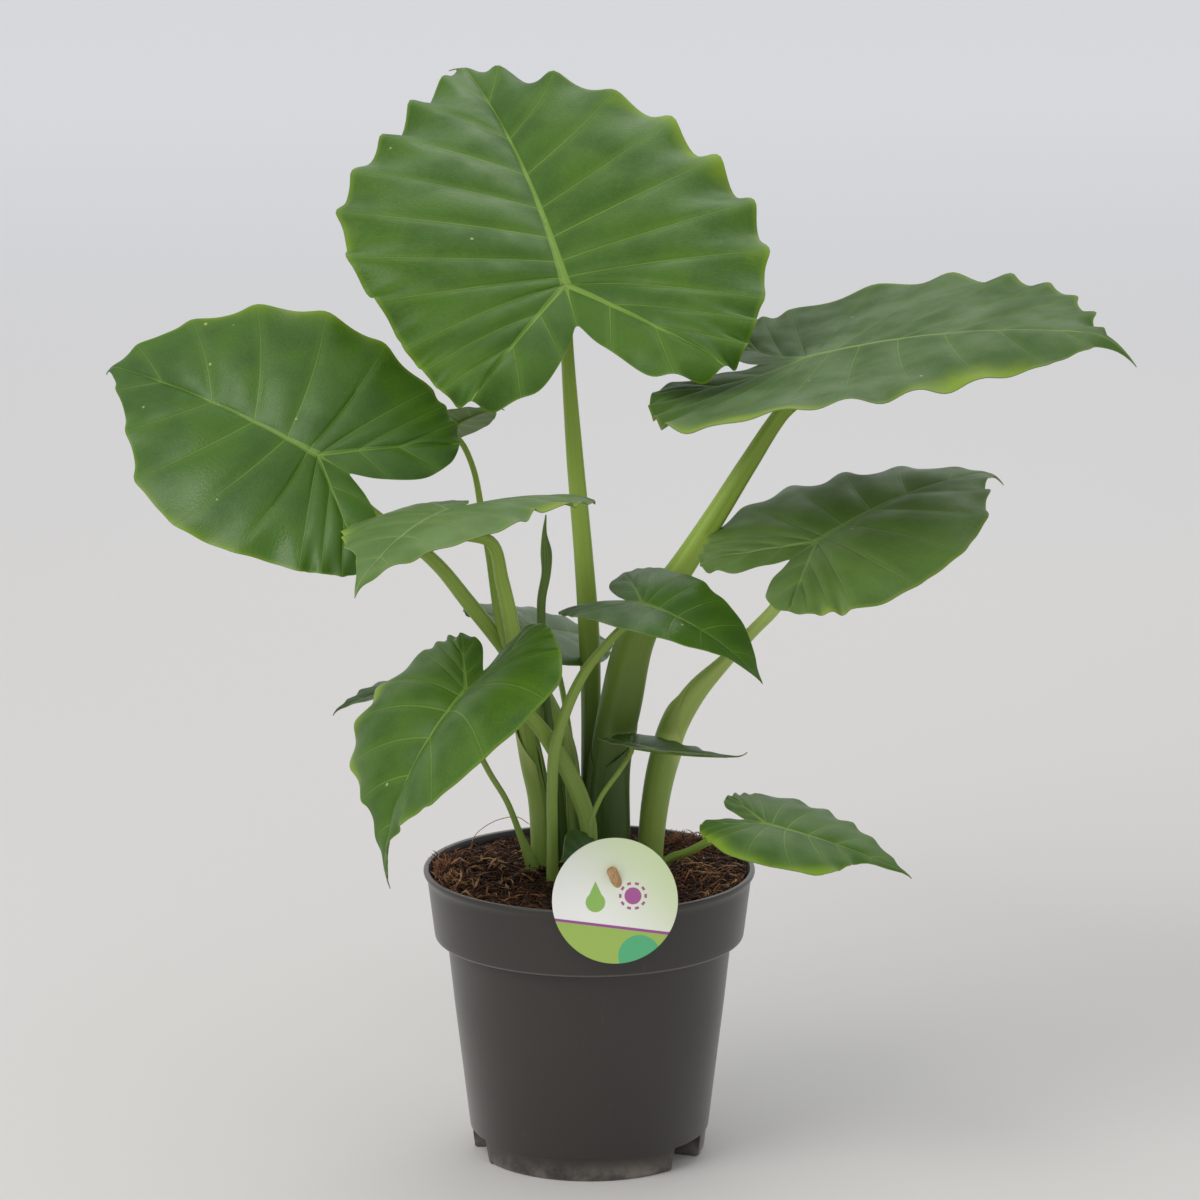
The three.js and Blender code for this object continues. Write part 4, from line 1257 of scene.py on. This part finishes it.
UNDERSIDE = leaf_material("leaf_underside", (116, 138, 88), (102, 126, 74), (144, 166, 104), (132, 150, 60),
                          0.7, 0.58, 0.3, -0.6)
STALK = stem_material("stalk_green", (160, 186, 78), (144, 170, 76), (120, 150, 58), 0.42)
# A lighter copy of the stalk green for a stalk that lies in the leaves' shade: painted light that makes up
# for it
PALE_STALK_PAINTED_LIGHT = stem_material("stalk_pale_green_painted_light", (190, 210, 118), (172, 194, 98), (144, 170, 76), 0.42, 0.3)
# The deep green stalks darken strongly towards the base: partly their own deeper green, partly painted
# shade from the leaves above
DEEP_STALK_PAINTED_SHADE = stem_material("stalk_deep_green_painted_shade", (156, 184, 70), (60, 84, 20), (92, 118, 40), 0.4, 0.15)
STALK_TONES = {"top": DEEP_STALK_PAINTED_SHADE, "right_high": DEEP_STALK_PAINTED_SHADE, "right_mid": PALE_STALK_PAINTED_LIGHT}
RIB = stem_material("rib_green", (124, 150, 64), (112, 138, 58), (104, 132, 52), 0.45)
NEW_GREEN = stem_material("rolled_leaf_green", (104, 134, 48), (90, 116, 44), (58, 86, 28), 0.4, 0.7)


def margin_material():
    material, tree, shader = new_material("leaf_margin", Roughness=0.5)
    grain = noise_at(tree, object_place(tree), 160.0)
    put(tree, shader, Base_Color=mixed(tree, grain, (120, 140, 66), (92, 112, 58)))
    return material


def sheath_material():
    material, tree, shader = new_material("sheath_green", Roughness=0.45)
    made = use(tree, LONG_STREAKS, Length=4.0, Round=8.0, Sharpness=0.35)
    tone = mixed(tree, made["Streaks"], (158, 182, 86), (142, 170, 76))
    tone = mixed(tree, ramped(tree, attribute(tree, "share"), 0.8, 1.0), tone, (180, 196, 110))
    put(tree, shader, Base_Color=tone)
    bump(tree, shader, made["Fine"], 0.2, 0.3)
    return material


def pot_material():
    """Moulded plastic, scuffed, dusty at the foot, with painted highlight lines along its lip and its
    ledge.
    """
    material, tree, shader = new_material(
        "pot_plastic", Sheen_Weight=0.16, Sheen_Roughness=0.4, Sheen_Tint=(0.9, 0.86, 0.83, 1))
    worn = use(tree, WEAR, Dust_height=0.016, Scuffs=0.45)
    place = object_place(tree)
    cloud = noise_at(tree, place, 9.0, 3.0)
    height = add(tree, "ShaderNodeSeparateXYZ", {0: place}).outputs[2]
    # Painted highlight: thin lighter lines along the lip's top and the ledge's edge, for the light those
    # edges catch
    lip = ramped(tree, height, POT_LIP * MM, (POT_LIP + 0.5) * MM)
    off_ledge = maths(tree, "ABSOLUTE", minus(tree, height, POT_LEDGE * MM))
    painted_edge_highlight = maths(tree, "MAXIMUM", lip, ramped(tree, off_ledge, 0.9 * MM, 0.3 * MM))
    tone = mixed(tree, cloud, (56, 52, 49), (49, 45, 42))
    tone = mixed(tree, times(tree, painted_edge_highlight, 0.4), tone, (128, 122, 118))
    tone = mixed(tree, worn["Scuff"], tone, (96, 90, 85))
    tone = mixed(tree, times(tree, worn["Dust"], 0.7), tone, (150, 142, 132))
    rough = plus(tree, plus(tree, 0.3, times(tree, worn["Dust"], 0.3)), times(tree, cloud, 0.08))
    put(tree, shader, Base_Color=tone, Roughness=rough)
    bump(tree, shader, worn["Grain"], 0.12, 0.2)
    return material


def soil_material():
    material, tree, shader = new_material("coir_crust", Roughness=0.95)
    place = object_place(tree)
    lumps = noise_at(tree, place, 160.0, 5.0, 0.65)
    fibres = add(tree, "ShaderNodeTexVoronoi", {"Vector": place, "Scale": 260.0})
    tone = mixed(tree, ramped(tree, lumps, 0.35, 0.68), (30, 19, 13), (92, 58, 40))
    strand = ramped(tree, fibres.outputs["Distance"], 0.5, 0.1, 0.0, 0.4)
    put(tree, shader, Base_Color=mixed(tree, strand, tone, (112, 76, 52)))
    bump(tree, shader, lumps, 0.9, 2.0)
    return material


def fibre_material():
    """Coir from dark to pale by each fibre's own shade."""
    material, tree, shader = new_material("coir_fibre", Roughness=0.8)
    ramp = add(tree, "ShaderNodeValToRGB", {"Fac": attribute(tree, "shade")})
    stops = ramp.color_ramp.elements
    stops[0].color, stops[1].color = colour(30, 19, 15), colour(214, 166, 116)
    for place, tone in ((0.25, (68, 39, 28)), (0.5, (126, 78, 52)), (0.78, (182, 124, 82))):
        stops.new(place).color = colour(*tone)
    grain = noise_at(tree, object_place(tree), 900.0)
    put(tree, shader, Base_Color=mixed(tree, times(tree, grain, 0.35), ramp.outputs[0], (60, 38, 28)))
    return material


def peg_material():
    material, tree, shader = new_material("peg_wood", Roughness=0.62)
    grain = add(tree, "ShaderNodeMapping", {"Vector": object_place(tree), "Rotation": (0.5, 0.3, 0.0),
                                            "Scale": (900.0, 900.0, 60.0)})
    lines = noise_at(tree, grain.outputs[0], 1.0, 4.0, 0.6)
    tone = mixed(tree, ramped(tree, lines, 0.3, 0.7), (206, 170, 122), (168, 128, 82))
    put(tree, shader, Base_Color=tone)
    bump(tree, shader, lines, 0.3, 0.2)
    return material


# The label's design, in millimetres from its middle: the sun, the drop's bowl and the height of its
# point over the bowl, and the pond
SUN = (11.0, 3.0)
DROP = (-12.0, -1.0)
DROP_POINT = 13.0
POND = (15.0, -34.0)


def label_material():
    """A printed card, plain behind: pale ground, a sun and a drop, an olive foot with a purple line and a
    teal pond."""
    material, tree, shader = new_material("label_card", Roughness=0.38)
    place = object_place(tree)
    turned = add(tree, "ShaderNodeMapping", {
        "Vector": place, "Location": [c * MM for c in LABEL_CENTRE],
        "Rotation": (-math.radians(LABEL_TILT), 0, 0)}, vector_type="TEXTURE")
    scaled = add(tree, "ShaderNodeVectorMath", {0: turned.outputs[0], 1: (1000.0, 1000.0, 1000.0)},
                 operation="MULTIPLY")
    x, depth, y = add(tree, "ShaderNodeSeparateXYZ", {0: scaled.outputs[0]}).outputs

    def distance(px, py):
        aside = maths(tree, "POWER", minus(tree, x, px), 2.0)
        above = maths(tree, "POWER", minus(tree, y, py), 2.0)
        return maths(tree, "SQRT", plus(tree, aside, above))

    def below(value, limit):
        return ramped(tree, value, limit + 0.12, limit - 0.12)

    def without(mask):
        return minus(tree, 1.0, mask)

    slope = plus(tree, y, times(tree, x, 0.12))
    foot = below(slope, -17.0)
    line = times(tree, below(slope, -15.2), without(foot))
    pond = times(tree, foot, below(distance(*POND), 13.0))
    off_sun = distance(*SUN)
    ring = times(tree, below(off_sun, 8.6), without(below(off_sun, 7.0)))
    angle = maths(tree, "ARCTAN2", minus(tree, y, SUN[1]), minus(tree, x, SUN[0]))
    rays = ramped(tree, maths(tree, "COSINE", times(tree, angle, 10.0)), -0.1, 0.1)
    shining = maths(tree, "MAXIMUM", below(off_sun, 5.2), times(tree, ring, rays))
    rise = minus(tree, y, DROP[1])
    aside = maths(tree, "ABSOLUTE", minus(tree, x, DROP[0]))
    outside = minus(tree, aside, times(tree, minus(tree, DROP_POINT, rise), 0.46))
    cone = times(tree, below(outside, 0.0), ramped(tree, rise, 2.4, 2.7))
    drop = maths(tree, "MAXIMUM", below(distance(*DROP), 6.0), cone)

    tone = mixed(tree, ramped(tree, plus(tree, x, y), -30.0, 60.0), (250, 251, 246), (214, 230, 180))
    for mask, print_colour in ((foot, (164, 194, 92)), (pond, (88, 184, 128)), (line, (158, 84, 146)),
                               (shining, (176, 92, 158)), (drop, (150, 196, 96))):
        tone = mixed(tree, mask, tone, print_colour)
    tone = mixed(tree, ramped(tree, depth, 0.2, -0.2), (236, 238, 232), tone)
    rough = ramped(tree, noise_at(tree, place, 60.0), 0.3, 0.7, 0.34, 0.44)
    put(tree, shader, Base_Color=tone, Roughness=rough)
    return material


MARGIN = margin_material()
SHEATH = sheath_material()
POT_PLASTIC = pot_material()
SOIL = soil_material()
FIBRE = fibre_material()
PEG_WOOD = peg_material()
LABEL_CARD = label_material()


# Camera, light and floor

def lamp(name, place, size, power, tint):
    light = bpy.data.lights.new(name, "AREA")
    light.size = size
    light.energy = power
    light.color = tint
    made = bpy.data.objects.new(name, light)
    made.location = place
    made.rotation_euler = (Vector(LAMP_AIM) - Vector(place)).to_track_quat("-Z", "Y").to_euler()
    bpy.context.scene.collection.objects.link(made)


def floor():
    """Pale paper with painted light: lighter and glowing more towards the back."""
    deselect()
    bpy.ops.mesh.primitive_plane_add(size=FLOOR_SIZE)
    paper = bpy.context.object
    paper.name = "floor"
    material, tree, shader = new_material("floor_paper", Roughness=0.9, Emission_Strength=1.0)
    depth = add(tree, "ShaderNodeSeparateXYZ", {0: object_place(tree)}).outputs[1]
    far = ramped(tree, depth, *FLOOR_BRIGHTENS)
    put(tree, shader, Base_Color=mixed(tree, far, *PAPER_WITH_PAINTED_LIGHT), Emission_Color=mixed(tree, far, *PAPER_GLOW))
    dress(paper, material)


def studio():
    scene = bpy.context.scene
    camera = bpy.data.objects.new("camera", bpy.data.cameras.new("camera"))
    camera.location = [c * MM for c in CAMERA_PLACE]
    camera.rotation_euler = (math.radians(90 - CAMERA_TILT), 0, 0)
    camera.data.lens = CAMERA_LENS
    camera.data.sensor_width = CAMERA_SENSOR
    scene.collection.objects.link(camera)
    scene.camera = camera
    floor()
    scene.world = bpy.data.worlds.new("studio")
    scene.world.use_nodes = True
    sky = scene.world.node_tree.nodes["Background"].inputs
    sky["Color"].default_value = SKY_TINT
    sky["Strength"].default_value = SKY_STRENGTH
    for name, lamp_values in LAMPS.items():
        lamp(name, *lamp_values)
    scene.view_settings.view_transform = "Standard"


studio()
pot()
crust()
coir()
stray_fibres()
crumbs()
for name, leaf in LEAVES.items():
    blade(name, leaf)
    blade_ribs(name, leaf)
    stalk(name, leaf)
for name, (leaf_name, top, wrap, slack, facing, flare, deep) in SHEATHS.items():
    sheath(name, leaf_name, top, wrap, slack, facing, flare, DEEP_STALK_PAINTED_SHADE if deep else SHEATH)
new_leaf()
sheath_leaf()
label()
peg()
dress(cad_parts["substrate"], SOIL)
